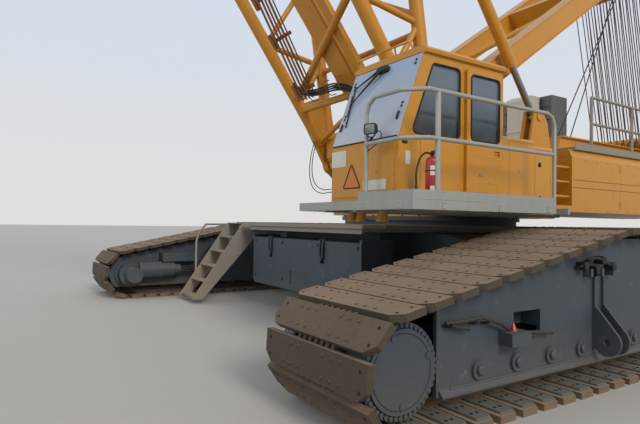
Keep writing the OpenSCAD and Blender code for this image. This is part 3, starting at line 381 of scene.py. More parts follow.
def paint(name, colour, rough=0.45, dust=0.5, dustHeight=1.5, streak=0.25, metal=0.0, bump=0.12, fade=0.12,
          dustColour=(0.42, 0.30, 0.19, 1), coat=0.0, chip=0.0, chipColour=(0.05, 0.03, 0.02, 1), chipSize=9.0,
          tread=0.0):
    m = bpy.data.materials.new(name)
    m.use_nodes = True
    t = m.node_tree
    bsdf = t.nodes["Principled BSDF"]
    w = t.nodes.new("ShaderNodeGroup")
    w.node_tree = weather
    w.inputs["dustHeight"].default_value, w.inputs["chipSize"].default_value = dustHeight, chipSize
    shade = mixColour(t, w.outputs["mottle"], shaded(colour, 1 - fade), shaded(colour, 1 + fade * 0.8))
    shade = mixColour(t, times(t, w.outputs["streaks"], streak), shade, shaded(colour, 0.45))
    if chip:
        shade = mixColour(t, times(t, w.outputs["chips"], chip), shade, chipColour)
    share = times(t, w.outputs["dust"], dust, True)
    link(t, mixColour(t, share, shade, dustColour), bsdf.inputs["Base Color"])
    link(t, plus(t, times(t, share, 0.4), rough, True), bsdf.inputs["Roughness"])
    bsdf.inputs["Metallic"].default_value = metal
    bsdf.inputs["Coat Weight"].default_value = coat
    height = w.outputs["grain"]
    if tread:
        # raised lozenges of chequer plate: the product of two waves at right angles
        waves = []
        for turn in (0.785, -0.785):
            mp, wave = t.nodes.new("ShaderNodeMapping"), t.nodes.new("ShaderNodeTexWave")
            mp.inputs["Rotation"].default_value = (0, 0, turn)
            link(t, ownPlace(t), mp.inputs["Vector"])
            link(t, mp.outputs[0], wave.inputs["Vector"])
            wave.inputs["Scale"].default_value = tread
            waves.append(wave.outputs["Fac"])
        height = plus(t, times(t, *waves), height)
    b = t.nodes.new("ShaderNodeBump")
    b.inputs["Strength"].default_value, b.inputs["Distance"].default_value = bump, 0.01
    link(t, height, b.inputs["Height"])
    link(t, b.outputs[0], bsdf.inputs["Normal"])
    return m


def byHeight(tree, low, high):
    # 0 below the height low, 1 above the height high, straight in between
    place = tree.nodes.new("ShaderNodeSeparateXYZ")
    link(tree, ownPlace(tree), place.inputs[0])
    return mathNode(tree, "DIVIDE", minus(tree, place.outputs[2], low), high - low, True)


def glass(name, foot, head, low, high, alpha, rough=0.04):
    # a glossy sheet that is lighter towards its head with a painted reflection of the sky, with a thin film of dust
    m = bpy.data.materials.new(name)
    m.use_nodes = True
    t = m.node_tree
    b = t.nodes["Principled BSDF"]
    dusty = times(t, minus(t, noise(t, ownPlace(t), 3.0), 0.45, True), 0.5, True)
    # colour runs from foot to head by height: the lighter, bluer head is a painted sky reflection
    paintedSkyReflection = mixColour(t, byHeight(t, low, high), foot, head)
    link(t, mixColour(t, dusty, paintedSkyReflection, srgb(150, 140, 125)), b.inputs["Base Color"])
    link(t, plus(t, times(t, dusty, 0.8), rough, True), b.inputs["Roughness"])
    b.inputs["Alpha"].default_value = alpha
    return m


def partPainted(finish, colour, height):
    # a second paint below a height, on a piece whose low parts have a colour of their own
    t = finish.node_tree
    base = t.nodes["Principled BSDF"].inputs["Base Color"]
    above = base.links[0].from_socket
    link(t, mixColour(t, byHeight(t, height - 0.002, height), colour, above), base)


# the numbers of a paint: roughness, dust, the height that dust reaches, streaks, metal, bump, fading
rust = srgb(96, 58, 36)
craneYellow = srgb(204, 140, 34)
galvanised = {"rough": 0.5, "dust": 0.3, "dustHeight": 1.4, "metal": 0.2, "chip": 0.3, "chipColour": rust}
mats = {
    "yellow": paint("craneYellow", craneYellow, 0.42, 0.3, 2.2, 0.22, coat=0.15, chip=0.5, chipColour=rust),
    "blueGrey": paint("blueGrey", srgb(64, 73, 81), 0.55, 0.4, 0.75, 0.3, chip=0.35,
                      chipColour=srgb(140, 134, 118), dustColour=srgb(142, 122, 98)),
    "ballast": paint("ballastGrey", srgb(98, 101, 97), 0.6, 0.35, 1.0, 0.35, chip=0.3, chipColour=srgb(70, 66, 58)),
    "grey": paint("galvanisedGrey", srgb(166, 166, 158), **galvanised),
    "mounted": paint("platformGrey", srgb(162, 163, 157), **galvanised),
    "walkway": paint("walkwayPlate", srgb(150, 143, 132), 0.7, 0.7, 1.4, 0.2, 0.1, 0.5, tread=14.0,
                     dustColour=srgb(176, 150, 120)),
    # track steel: dark brown-grey with light brown on what faces up, partly dust and partly painted light on the shoes'
    # tops
    "track": paint("trackSteel", srgb(80, 68, 54), 0.8, 0.95, 0.3, 0.1, 0.1, 0.35, 0.3,
                   srgb(160, 136, 110), chip=0.6, chipColour=srgb(62, 48, 38), chipSize=5.0),
    "shoeInner": paint("shoeInnerSteel", srgb(92, 96, 93), 0.75, 0.45, 0.3, 0.1, 0.1, 0.3, 0.3,
                       srgb(140, 128, 110)),
    "sheave": paint("sheaveSteel", srgb(80, 82, 84), 0.5, 0.3, 1.5, 0.2, 0.5),
    "rope": paint("ropeSteel", srgb(62, 58, 54), 0.6, 0.2, 1.0, 0.0, 0.4, fade=0.4),
    "rustyRod": paint("rustyRod", srgb(150, 98, 60), 0.7, 0.2, 1.0, 0.2, 0.2, 0.3, 0.4),
    "rustyRope": paint("rustyRope", srgb(112, 86, 76), 0.7, 0.2, 1.0, 0.0, 0.3, fade=0.5),
    "cream": paint("creamPaint", srgb(206, 200, 182), 0.5, 0.3, 2.0, 0.35),
    "seat": paint("seatFabric", srgb(38, 39, 42), 0.9, 0.3, 4.0, 0.0, bump=0.3),
    "rubber": paint("blackRubber", srgb(26, 26, 27), 0.6, 0.12, 1.0, 0.1),
    # near-black discs of painted shade standing for the holes in the shoes
    "hole": paint("paintedHoleShade", srgb(20, 18, 16), 0.9, 0.05, 0.1, 0.0),
    "lens": paint("lampLens", srgb(66, 68, 70), 0.12, 0.15, 1.0, 0.2, coat=0.6),
    "chrome": paint("rodChrome", srgb(150, 148, 142), 0.25, 0.15, 1.0, 0.3, 0.9, 0.03),
    "white": paint("whitePlate", srgb(216, 214, 206), 0.4, 0.25, 2.4, 0.4),
    "red": paint("signalRed", srgb(176, 30, 34), 0.35, 0.25, 2.4, 0.2, coat=0.3),
    "amber": paint("amberPlate", srgb(214, 124, 44), 0.45, 0.2, 2.4, 0.2),
    # side panes: dark tint below, with a painted sky reflection making them lighter towards the top
    "sideGlass": glass("tintedGlassPaintedReflection", srgb(48, 54, 56), srgb(112, 128, 142), 2.75, 3.3, 0.84),
    # windscreen: its pale blue-white colour is a painted reflection of the bright sky
    "screen": glass("windscreenGlass", srgb(190, 192, 200), srgb(164, 180, 202), 2.75, 3.5, 0.93, 0.06),
}
partPainted(mats["mounted"], craneYellow, 1.803)
nodeMats = {
    "yellow": "main_girders backstop_brackets cab_shell cab_door housing_left side_house_left side_house_right "
              "reeving_block a_frame boom_foot boom_middle boom_head backstop_tubes hook_block",
    "blueGrey": "car_body side_frame_left side_frame_right drive_wheel_left drive_wheel_right drive_motors "
                "idler_left idler_right rollers_left rollers_right ballast_boxes slewing_ring engine_block",
    "ballast": "counterweights", "grey": "cab_railing", "mounted": "platform", "cream": "air_box",
    "seat": "operator_seat", "chrome": "backstop_rods", "screen": "windshield",
    "walkway": "deck stairs deck_railing", "track": "track_left track_right", "sheave": "head_sheaves winches",
    "rope": "pendants hoist_ropes", "sideGlass": "cab_glass cab_door_glass",
}
for key, names in nodeMats.items():
    for n in names.split():
        nodes[n].data.materials.clear()
        nodes[n].data.materials.append(mats[key])
print("materials done")

# Tracks: bolts, lifting holes drawn as dark discs of painted shade, inner pads and link knuckles on every shoe
shoe = {"boltR": 0.017, "boltRows": (-0.085, 0.085), "boltAt": (0.18, 0.3, 0.42), "holeR": 0.016,
        "holeAt": (0.665,), "holeRows": (-0.075, 0.075), "innerHoleAt": (0.44, 0.6), "innerHoleRows": (-0.035, 0.035),
        "padIn": 0.275, "padOut": 0.7, "padThick": 0.022, "padShare": 0.58, "padNotch": 0.06, "padCorner": 0.012,
        "knuckles": 7, "knuckleLong": 0.15, "knuckleWide": 0.044, "knuckleHigh": 0.052, "knuckleStep": 0.084,
        "knuckleSunk": 0.012, "grounded": -0.9}
loopCentres = np.array([[-track["axleX"], track["axleZ"]], [track["axleX"], track["axleZ"]],
                        [track["crestX"], track["crestZ"]], [-track["crestX"], track["crestZ"]]])
climb = math.atan2(track["crestZ"] - track["axleZ"], track["axleX"] - track["crestX"])
loopTurns = np.array([0, math.pi - climb, math.pi, math.pi + climb, 2 * math.pi])
edges = np.linalg.norm(np.roll(loopCentres, -1, 0) - loopCentres, axis=1)
loopLength = edges.sum() + 2 * math.pi * track["linkR"]
shoeCount = round(loopLength / track["wanted"])
pitch = loopLength / shoeCount


def trackFrame(s, h):
    # place, direction and outward normal of the chain's line at distance s round it, h outside it
    r = track["linkR"]
    x, a = np.zeros((len(s), 2)), np.zeros(len(s))
    start = 0.0
    for i in range(4):
        bend = (loopTurns[i + 1] - loopTurns[i]) * r
        on = (s >= start) & (s <= start + edges[i])
        way = np.array([math.cos(loopTurns[i]), math.sin(loopTurns[i])])
        x[on] = loopCentres[i] + (s[on] - start)[:, None] * way
        a[on] = loopTurns[i]
        start += edges[i]
        on = (s > start) & (s <= start + bend)
        x[on] = loopCentres[(i + 1) % 4]
        a[on] = loopTurns[i] + (s[on] - start) / r
        start += bend
    out = acrossY(np.stack([np.sin(a), -np.cos(a)], -1), 0)
    return acrossY(x, 0) + out * (r + h), acrossY(np.stack([np.cos(a), np.sin(a)], -1), 0), out


def onShoes(shape, along, across, h, inside=False):
    # the shape at each pair of distances along and across every shoe, outside only on those off the ground
    place, way, out = trackFrame((np.arange(shoeCount) + 0.5) * pitch, h)
    if not inside:
        free = out[:, 2] > shoe["grounded"]
        place, way = place[free], way[free]
    return joined([copies(shape, place + way * u + [0, v, 0], way, (0, 1 if inside else -1, 0))
                   for u in along for v in across])


def dressTrack(side, y):
    r, thick, sunk = shoe["boltR"], track["shoeThick"], -shoe["padThick"] - 0.001
    bolt = turned([(r, -0.004), (r * 0.9, 0.007), (r * 0.6, 0.009)], 6, False)
    r = shoe["holeR"]
    # a hole is a flat dark disc on the shoe: painted shade inside the hole
    hole = turned([(r, -0.002), (r * 0.9, 0.003), (r * 0.6, 0.0006)], 8, False)
    half, start, end, corner = pitch * shoe["padShare"] / 2, shoe["padIn"], shoe["padOut"], shoe["padCorner"]
    notch = start + shoe["padNotch"]
    pad = plate([(-half, notch), (-half * 0.3, notch), (-half * 0.3, start), (half, start), (half, end),
                 (half * 0.8, end + corner), (-half * 0.8, end + corner), (-half, end)], shoe["padThick"], 0.006)
    knuckle = roundPlate(shoe["knuckleLong"], shoe["knuckleWide"], 0.014, shoe["knuckleHigh"], 0.012, 1)
    across = (np.arange(shoe["knuckles"]) - (shoe["knuckles"] - 1) / 2) * shoe["knuckleStep"]
    place, way, out = trackFrame(np.arange(shoeCount) * pitch, -shoe["knuckleSunk"])
    pieces = (
        ("shoe_bolts", onShoes(bolt, shoe["boltRows"], bothSigns(shoe["boltAt"]), thick), "track"),
        ("shoe_holes", [onShoes(hole, shoe["holeRows"], bothSigns(shoe["holeAt"]), thick),
                        onShoes(hole, shoe["innerHoleRows"], bothSigns(shoe["innerHoleAt"]), sunk, True)], "hole"),
        ("shoe_pads", bothSides(onShoes(pad, (0,), (0,), 0.001, True)), "shoeInner"),
        ("link_knuckles", [copies(knuckle, place + [0, v, 0], way, np.cross(out, way)) for v in across], "track"))
    for name, shape, finish in pieces:
        makePiece(name + "_" + side, moved(joined(shape), (0, y, 0)), finish, "undercarriage")


dressTrack("left", track["gauge"] / 2)
dressTrack("right", -track["gauge"] / 2)
print("tracks done")

# Side frames: grease pipes over the jack lugs, stowed bars, red tip of the step box, roller caps, edge welds.
# Routes are given as x, distance off the frame's outer face and z
frameTrim = {
    "face": 4.87, "pipeR": 0.016, "barR": 0.017, "hookR": 0.012, "weldR": 0.012, "rollerGap": 0.53, "rollerZ": 0.413,
    "pipes": [
        [(2.76, 0.01, 1.25), (2.74, 0.08, 1.27), (2.62, 0.09, 1.29), (2.5, 0.085, 1.26), (2.44, 0.08, 1.19),
         (2.42, 0.01, 1.14)],
        [(2.6, 0.01, 1.3), (2.58, 0.07, 1.34), (2.46, 0.09, 1.35), (2.34, 0.09, 1.3), (2.2, 0.09, 1.26),
         (2.12, 0.01, 1.24)]],
    "collars": [(2.7, -0.01, 1.27), (2.48, -0.01, 1.22), (2.36, -0.01, 1.32), (2.16, -0.01, 1.25)],
    "bars": [
        [(4.7, 0.05, 0.862), (4.52, 0.09, 0.872), (4.3, 0.09, 0.884), (4.05, 0.08, 0.81), (3.9, 0.06, 0.735)],
        [(4.68, 0.05, 0.845), (4.42, 0.06, 0.79)],
        [(3.66, 0.03, 0.682), (3.24, 0.07, 0.642)], [(3.69, 0.02, 0.65), (3.5, 0.05, 0.632)]],
    "hooks": [(4.66, 0, 0.83), (4.36, 0, 0.83), (4.2, 0, 0.82)], "tip": (3.83, 0.06, 0.712),
    "weld": [(4.6, 0.006, 0.3), (0, 0.006, 0.3), (-4.7, 0.006, 0.3)]}


def dressFrame():
    face = np.array([0, frameTrim["face"], 0])
    collar = roundPlate(0.075, 0.085, 0.02, 0.115, 0.006)
    pipes = [bent(p, frameTrim["pipeR"], 8, 3, face) for p in frameTrim["pipes"]]
    pipes.append(copies(collar, np.array(frameTrim["collars"]) + face, *facingOut))
    rods = [tube(b + face, frameTrim["barR"]) for b in frameTrim["bars"]]
    rods += [bent([(0, -0.02, 0), (0, 0.06, 0), (0, 0.1, 0.03)], frameTrim["hookR"], 6, 2, at + face)
             for at in frameTrim["hooks"]]
    tip = turned([(0.035, 0.0), (0.032, 0.01), (0.006, 0.08)], 10)
    cap = turned([(0.046, 0), (0.046, 0.026), (0.036, 0.034)], 16)
    caps = [(i * frameTrim["rollerGap"], frameTrim["face"] + 0.024, frameTrim["rollerZ"]) for i in range(-8, 9)]
    for name, shape, finish in (
            ("grease_pipes", pipes, "rubber"), ("stowed_bars", rods, "rope"),
            ("marker_cones", placed(tip, frameTrim["tip"] + face, (1, 0, 0), (0, 1, 0)), "red"),
            ("roller_caps", copies(cap, caps, *facingOut), "blueGrey"),
            ("frame_welds", tube(frameTrim["weld"] + face, frameTrim["weldR"], 6), "blueGrey")):
        makePiece(name, bothSides(shape), finish, "undercarriage")


# Drives: seam and filler plugs of the wheels' covers, and the motors with their hoses on the frames' inner side
drive = {
    "x": 5.14, "z": 0.52, "face": 4.89, "seamR": 0.3, "seamWire": 0.004, "hoseR": 0.018, "hoseRows": (-0.05, 0.0, 0.05),
    "plug": [(0.03, 0), (0.03, 0.01), (0.018, 0.014)], "barrelAt": (5.0, 3.6, 0.6), "boxAt": (4.1, 3.53, 0.865),
    "barrel": [(0.17, 0), (0.17, 0.42), (0.18, 0.43), (0.18, 0.47), (0.15, 0.48), (0.15, 0.76), (0.11, 0.78),
               (0.11, 0.9), (0.06, 0.92)],
    "hose": [(4.12, 3.6, 0.6), (3.9, 3.6, 0.6), (3.7, 3.62, 0.62), (3.55, 3.7, 0.75), (3.45, 3.78, 0.95),
             (3.2, 3.8, 1.06), (2.6, 3.8, 1.1), (2.45, 3.84, 1.1)]}


def dressDrives():
    x, y, z = drive["x"], drive["face"], drive["z"]
    seam = tube(circle(drive["seamR"], (x, y, z), 48), drive["seamWire"], 6, True)
    plugs = copies(turned(drive["plug"], 12, False), [(x + 0.29, y, z), (x, y, z - 0.27)], *facingOut)
    barrels = [placed(turned(drive["barrel"], 28), drive["barrelAt"], (0, 1, 0), (0, 0, -1)),
               placed(roundPlate(0.8, 0.19, 0.02, 0.3, 0.012), drive["boxAt"], *facingOut)]
    hoses = [bent(drive["hose"], drive["hoseR"], 8, 3, (0, 0, d)) for d in drive["hoseRows"]]
    for name, shape, finish in (("cover_seams", seam, "rubber"), ("filler_plugs", plugs, "blueGrey"),
                                ("drive_barrels", barrels, "blueGrey"), ("drive_hoses", hoses, "rubber")):
        makePiece(name, bothSides(shape), finish, "undercarriage")


dressFrame()
dressDrives()

# Middle frame: bolts and lifting lugs on the ballast boxes, pipes beside the slewing ring
middle = {"front": 3.156, "bolt": [(0.03, 0), (0.028, 0.02), (0.016, 0.024)], "boltY": (-1.7, -0.6, 0.6, 1.7),
          "boltZ": (0.62, 1.3), "lugY": (-1.045, 0.755), "lugR": 0.02, "pipeR": 0.02, "pipeStep": 0.07,
          "lug": [(-0.02, -0.045, 1.4), (0.03, -0.045, 1.37), (0.03, -0.045, 1.1), (0.03, 0, 1.055), (0.03, 0.045, 1.1),
                  (0.03, 0.045, 1.37), (-0.02, 0.045, 1.4)],
          "pipe": [(1.2, 1.505, 1.35), (1.2, 1.56, 1.35), (1.28, 2.1, 1.28), (1.3, 3.0, 1.3), (1.3, 3.82, 1.2)]}


def dressMiddle():
    front, bolt = middle["front"], turned(middle["bolt"], 6, False)
    at = np.array([(front, y, z) for y in middle["boltY"] for z in middle["boltZ"]])
    makePiece("ballast_bolts", [copies(bolt, at, *facingFront), copies(bolt, at * [-1, 1, 1], (0, 0, 1), (0, 1, 0))],
              "blueGrey", "undercarriage")
    lugs = joined([bent(middle["lug"], middle["lugR"], at=(front, y, 0)) for y in middle["lugY"]])
    makePiece("box_lugs", [lugs, mirrored(lugs, (-1, 1, 1))], "blueGrey", "undercarriage")
    pipes = [bent(middle["pipe"], middle["pipeR"], 8, 3, np.array([1, 0, -1]) * k * middle["pipeStep"])
             for k in range(3)]
    makePiece("travel_pipes", bothSides(pipes), "rubber", "undercarriage")


dressMiddle()
print("undercarriage done")

# Cab: rubber round the panes, wiper, studs and grips of the windscreen, plates, guard rail
screen = {"studR": 0.017, "studAt": ((2.49, 0.93), (2.49, 0.885), (3.6, 0.985), (3.6, 0.94), (3.585, 0.44),
                                     (3.585, 0.395), (2.5, 0.45), (2.5, 0.405)),
          "gripAt": ((3.575, 0.28), (2.505, 0.28)), "bladeTop": (2.53, 0.88), "bladeLow": (2.6, 0.27),
          "arms": (((3.02, 0.985), (2.545, 0.8)), ((3.02, 0.96), (2.565, 0.57))), "clawAt": (0.08, 0.35, 0.65, 0.92),
          "motorAt": (3.04, 0.985)}
trim = {"sealR": 0.011, "sealCorner": 0.055, "edgeIn": 0.018, "railR": 0.014, "railPostR": 0.012,
        "railPosts": (2.86, 3.15), "plates": (((2.585, 2.474), (0.3, 0.2)), ((3.29, 2.118), (0.4, 0.115))),
        "rail": [(-0.02, 2.42, -0.02), (0.02, 2.42, 0.11), (0.02, 2.5, 0.13), (0.02, 3.36, 0.13), (0.02, 3.44, 0.11),
                 (-0.02, 3.44, -0.02)],
        "triangle": [(2.69, 2.1), (3.03, 2.1), (2.853, 2.39)], "signAt": (3.99, 3.68, 2.41),
        "catchAt": (4.04, 3.68, 2.577), "lockAt": (2.836, 3.725, 2.279),
        "hatch": [(2.53, 2.07), (3.02, 2.07), (3.02, 2.18), (2.53, 2.18)]}
lean = math.atan2(cab["rake"], cab["roof"] - cab["sill"])


def screenPoint(y, v, off=0.0):
    # v up the windscreen from its lower edge, off outside its face
    out = 0.012 + off
    x = cab["front"] + 0.0003 - v * math.sin(lean) + out * math.cos(lean)
    return np.stack(np.broadcast_arrays(x, y, cab["sill"] + v * math.cos(lean) + out * math.sin(lean)), -1)


def windowSeal(outline, face):
    # rubber bead round a pane's outline, given in x and z, on a face square to y
    return tube(acrossY(cornered(outline, trim["sealCorner"]), face), trim["sealR"], 6, True)


def sealPanes():
    f, top, sill, a = cab["front"], cab["glassTop"], cab["sill"] + 0.07, cab["doorStart"]
    inner, outer = cab["inner"], cab["outer"]
    frontPane = [(f - 0.19, sill), (f - cab["rake"] - 0.13, top), (f - 0.96, top), (f - 0.96, sill)]
    door = [(a + 0.04, sill), (a + 0.56, sill), (a + 0.56, top - 0.04), (a + 0.04, top - 0.04)]
    side = [(a, sill), (a + 0.6, sill), (a + 0.6, top), (a, top)]
    rear = [(inner + 0.12, sill), (outer - 0.12, sill), (outer - 0.12, top), (inner + 0.12, top)]
    edge = [screenPoint(y, 0.02, -0.004) for y in (inner + trim["edgeIn"], outer - trim["edgeIn"])]
    makePiece("window_seals", [
        windowSeal(frontPane, outer + 0.002), windowSeal(frontPane, inner - 0.002), windowSeal(side, inner - 0.002),
        tube(acrossX(cornered(rear, 0.03), cab["back"] - 0.002), trim["sealR"], 6, True),
        tube(edge, 0.009, 6)], "rubber")
    makePiece("door_seal", windowSeal(door, cab["doorFace"] + 0.001), "rubber", "cab_door")


def dressScreen():
    axes = np.array([0, 1, 0]), np.array([-math.sin(lean), 0, math.cos(lean)])
    r = screen["studR"]
    stud = turned([(r, 0), (r * 0.9, 0.008), (r * 0.5, 0.012)], 10, False)
    grip = roundPlate(0.022, 0.11, 0.009, 0.02, 0.005)
    makePiece("screen_studs", [copies(shape, [screenPoint(y, v) for y, v in screen[key]], *axes)
                               for shape, key in ((stud, "studAt"), (grip, "gripAt"))], "rubber")
    blade = np.array([screen["bladeTop"], screen["bladeLow"]])
    mid = blade.mean(0)
    bridge = blade * 0.5 + mid * 0.5
    wiper = [tube(screenPoint(*blade.T, 0.012), 0.009, 6), tube(screenPoint(*bridge.T, 0.03), 0.007, 6)]
    t = np.linspace(0, 1, 7)[:, None]
    for p, q in np.array(screen["arms"]):
        # the arms sink towards the blade and grow thinner
        way = p * (1 - t) + q * t
        wiper.append(tube(screenPoint(*way.T, 0.05 - 0.015 * t[:, 0]), 0.008 + 0.008 * (1 - t[:, 0]), 6))
    for s in screen["clawAt"]:
        c = blade[0] * (1 - s) + blade[1] * s
        wiper.append(tube([screenPoint(*c, 0.008), screenPoint(*(c * 0.9 + mid * 0.1), 0.032)], 0.006, 6))
    wiper.append(placed(roundPlate(0.2, 0.075, 0.02, 0.06, 0.01), screenPoint(*screen["motorAt"]), *axes))
    makePiece("wiper", wiper, "rubber")


def dressCab():
    # guard rail on the front of the roof
    x, z = cab["front"] - cab["rake"] - 0.03, cab["roof"] + 0.045
    posts = [tube([(x - 0.01, y, z - 0.02), (x + 0.02, y, z + 0.13)], trim["railPostR"]) for y in trim["railPosts"]]
    makePiece("roof_rail", [bent(trim["rail"], trim["railR"], at=(x, 0, z))] + posts, "yellow")
    # blank plates and the outlined triangle on the lower front panel
    front = cab["front"] + 0.012
    makePiece("front_plates", [placed(roundPlate(*size, 0.008, 0.003, 0.001), (front, *c), *facingFront)
                               for c, size in trim["plates"]], "white")
    makePiece("front_triangle", placed(plate(trim["triangle"], 0.003, 0.001), (front, 0, 0), *facingFront), "amber")
    rim = acrossX(cornered(trim["triangle"], 0.012, 3), front + 0.003)
    makePiece("triangle_rim", tube(rim, 0.008, 6, True), "rubber")
    # blank sign and grip beside the corner seam, lock and outline of the door's lower hatch
    for name, size, at, finish, body in (
            ("corner_sign", (0.07, 0.15, 0.006, 0.003, 0.001), "signAt", "white", "superstructure"),
            ("corner_catch", (0.075, 0.03, 0.01, 0.014, 0.004), "catchAt", "rubber", "superstructure"),
            ("door_lock", (0.06, 0.03, 0.01, 0.008, 0.003), "lockAt", "chrome", "cab_door")):
        makePiece(name, placed(roundPlate(*size), trim[at], *facingSide), finish, body)
    hatch = acrossY(cornered(trim["hatch"], 0.01, 2), cab["doorFace"])
    makePiece("door_hatch", tube(hatch, 0.0035, 6, True), "yellow", "cab_door")


sealPanes()
dressScreen()
dressCab()

# Operator's seat: two padded cushions on their frame, between the two consoles
seat = {"at": (2.755, 3.048, 1.9803), "wide": 0.5, "deep": 0.5, "backHigh": 0.68, "backWide": 0.46, "thick": 0.07,
        "crown": 0.02, "consoles": (-0.325, 0.325), "lever": [(0.47, 0, 0.55), (0.49, 0, 0.62), (0.48, 0, 0.68)],
        "foot": [(0.11, 0), (0.11, 0.02), (0.075, 0.03), (0.075, 0.28), (0.12, 0.3)]}


def cushion(wide, deep, steps=24):
    # rounded pillow: a superellipse in plan whose thickness swells towards the middle
    thick, crown = seat["thick"], seat["crown"]
    u = np.linspace(0, 2 * math.pi, steps, endpoint=False)
    v = np.linspace(-1, 1, 13)[:, None]
    edge = 1 - 0.16 * v ** 2 - 0.05 * v ** 6
    c, s = np.cos(u), np.sin(u)
    x = np.sign(c) * np.abs(c) ** 0.35 * wide / 2 * edge
    y = np.sign(s) * np.abs(s) ** 0.35 * deep / 2 * edge
    rings = [np.stack([x[i], y[i], np.full(steps, v[i, 0] * thick / 2)], -1) for i in range(len(v))]
    for k in (0.8, 0.55, 0.25):
        swell = crown * (1 - k ** 2)
        rings.append(np.stack([x[-1] * k, y[-1] * k, np.full(steps, thick / 2 + swell)], -1))
        rings.insert(0, np.stack([x[0] * k, y[0] * k, np.full(steps, -thick / 2 - swell * 0.2)], -1))
    return capped(np.stack(rings))


def dressSeat():
    at = np.array(seat["at"])
    base = makePiece("seat_cushion", placed(cushion(seat["deep"], seat["wide"]), at + [0.255, 0, 0.435],
                                            (1, 0, 0.04), (0, 1, 0)), "seat", angle=60)
    back = makePiece("seat_back", placed(cushion(seat["backHigh"], seat["backWide"]), at + [-0.005, 0, 0.79],
                                         (-0.15, 0, 1), (0, -1, 0)), "seat", angle=60)
    shapes = [placed(turned(seat["foot"], 24), at + [0.25, 0, 0], *facingUp),
              placed(roundPlate(0.44, 0.44, 0.06, 0.08, 0.01), at + [0.25, 0, 0.299], *facingUp)]
    console = roundPlate(0.5, 0.11, 0.03, 0.26, 0.02)
    for c in seat["consoles"]:
        shapes.append(placed(console, at + [0.31, c, 0.3], *facingUp))
        shapes.append(tube([at + [0.25, c, 0.34], at + [0.25, 0, 0.34]], 0.018))
        lever = soften(seat["lever"] + at + [0, c, 0])
        shapes.append(tube(lever, np.linspace(0.012, 0.022, len(lever))))
    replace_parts(makePiece("seat_stand", shapes, "rubber"), "operator_seat")


dressSeat()

# Platform: work lamp with its cable, extinguisher with its hose, brackets at the posts' feet.
# Routes are counted from the lamp's middle and from the extinguisher's foot
lamp = {"at": (4.33, 3.44, 2.72), "wide": 0.15, "high": 0.12, "cableR": 0.006,
        "shell": ((0.45, -0.07), (0.8, -0.06), (1, -0.01), (1, 0.02), (0.88, 0.02), (0.85, 0.012)),
        "yoke": [(-0.02, -0.1, 0), (-0.03, -0.1, -0.07), (-0.03, 0, -0.095), (-0.01, 0.08, -0.07), (-0.01, 0.08, 0)],
        "foot": [(-0.03, 0, -0.09), (-0.028, -0.08, -0.16)],
        "cable": [(-0.05, 0.02, -0.02), (-0.06, 0.1, -0.03), (-0.04, 0.15, -0.09), (-0.03, 0.1, -0.17),
                  (-0.028, -0.04, -0.22), (-0.028, -0.075, -0.24)]}
extinguisher = {"at": (3.96, 4.02, 1.935), "r": 0.07, "high": 0.45, "hoseR": 0.011,
                "valve": [(0.02, 0), (0.022, 0.03), (0.012, 0.05)], "nozzleAt": (0.235, 0.01, 0.135),
                "nozzle": [(0.013, 0), (0.016, 0.01), (0.02, 0.12), (0.014, 0.12)],
                "levers": (((0.03, 0.02, 0.48), (-0.09, 0, 0.505), 0.009), ((0.03, 0.02, 0.495), (-0.1, 0, 0.54), 0.009),
                           ((-0.02, 0.02, 0.3), (-0.02, 0.085, 0.3), 0.01)),
                "labels": (("label_upper", 0.25, 0.1), ("label_lower", 0.07, 0.07)),
                "hose": [(0.03, 0, 0.48), (0.09, 0, 0.49), (0.17, 0, 0.44), (0.22, 0.005, 0.33), (0.24, 0.01, 0.24),
                         (0.235, 0.01, 0.13)]}


def declareCord(name, path, radius, far, body, between=None, **more):
    # rubber cord along the softened path, on the body given; where between names two bodies, its transform is baked
    # into its points
    points = soften(path)
    piece = makePiece(name, tube(points, radius), "rubber", body)
    if between:
        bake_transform(piece)


def dressLamp():
    at, axes = np.array(lamp["at"]), (unit([-0.3, 0.95, 0]), np.array([0, 0, 1]))
    wide, high = lamp["wide"], lamp["high"]
    shell = np.stack([acrossZ(roundRect(wide * k, high * k, 0.02 * k), h) for k, h in lamp["shell"]])
    makePiece("work_lamp", [placed(capped(shell), at, *axes), bent(lamp["yoke"], 0.008, 6, at=at),
                            tube(lamp["foot"] + at, 0.014)], "rubber")
    pane = roundPlate(wide * 0.84, high * 0.84, 0.015, 0.004, 0.001)
    makePiece("work_lamp_pane", placed(pane, at + np.cross(*axes) * 0.012, *axes), "lens")
    declareCord("lamp_cable", lamp["cable"] + at, lamp["cableR"], "object", "superstructure", with_pieces=[])


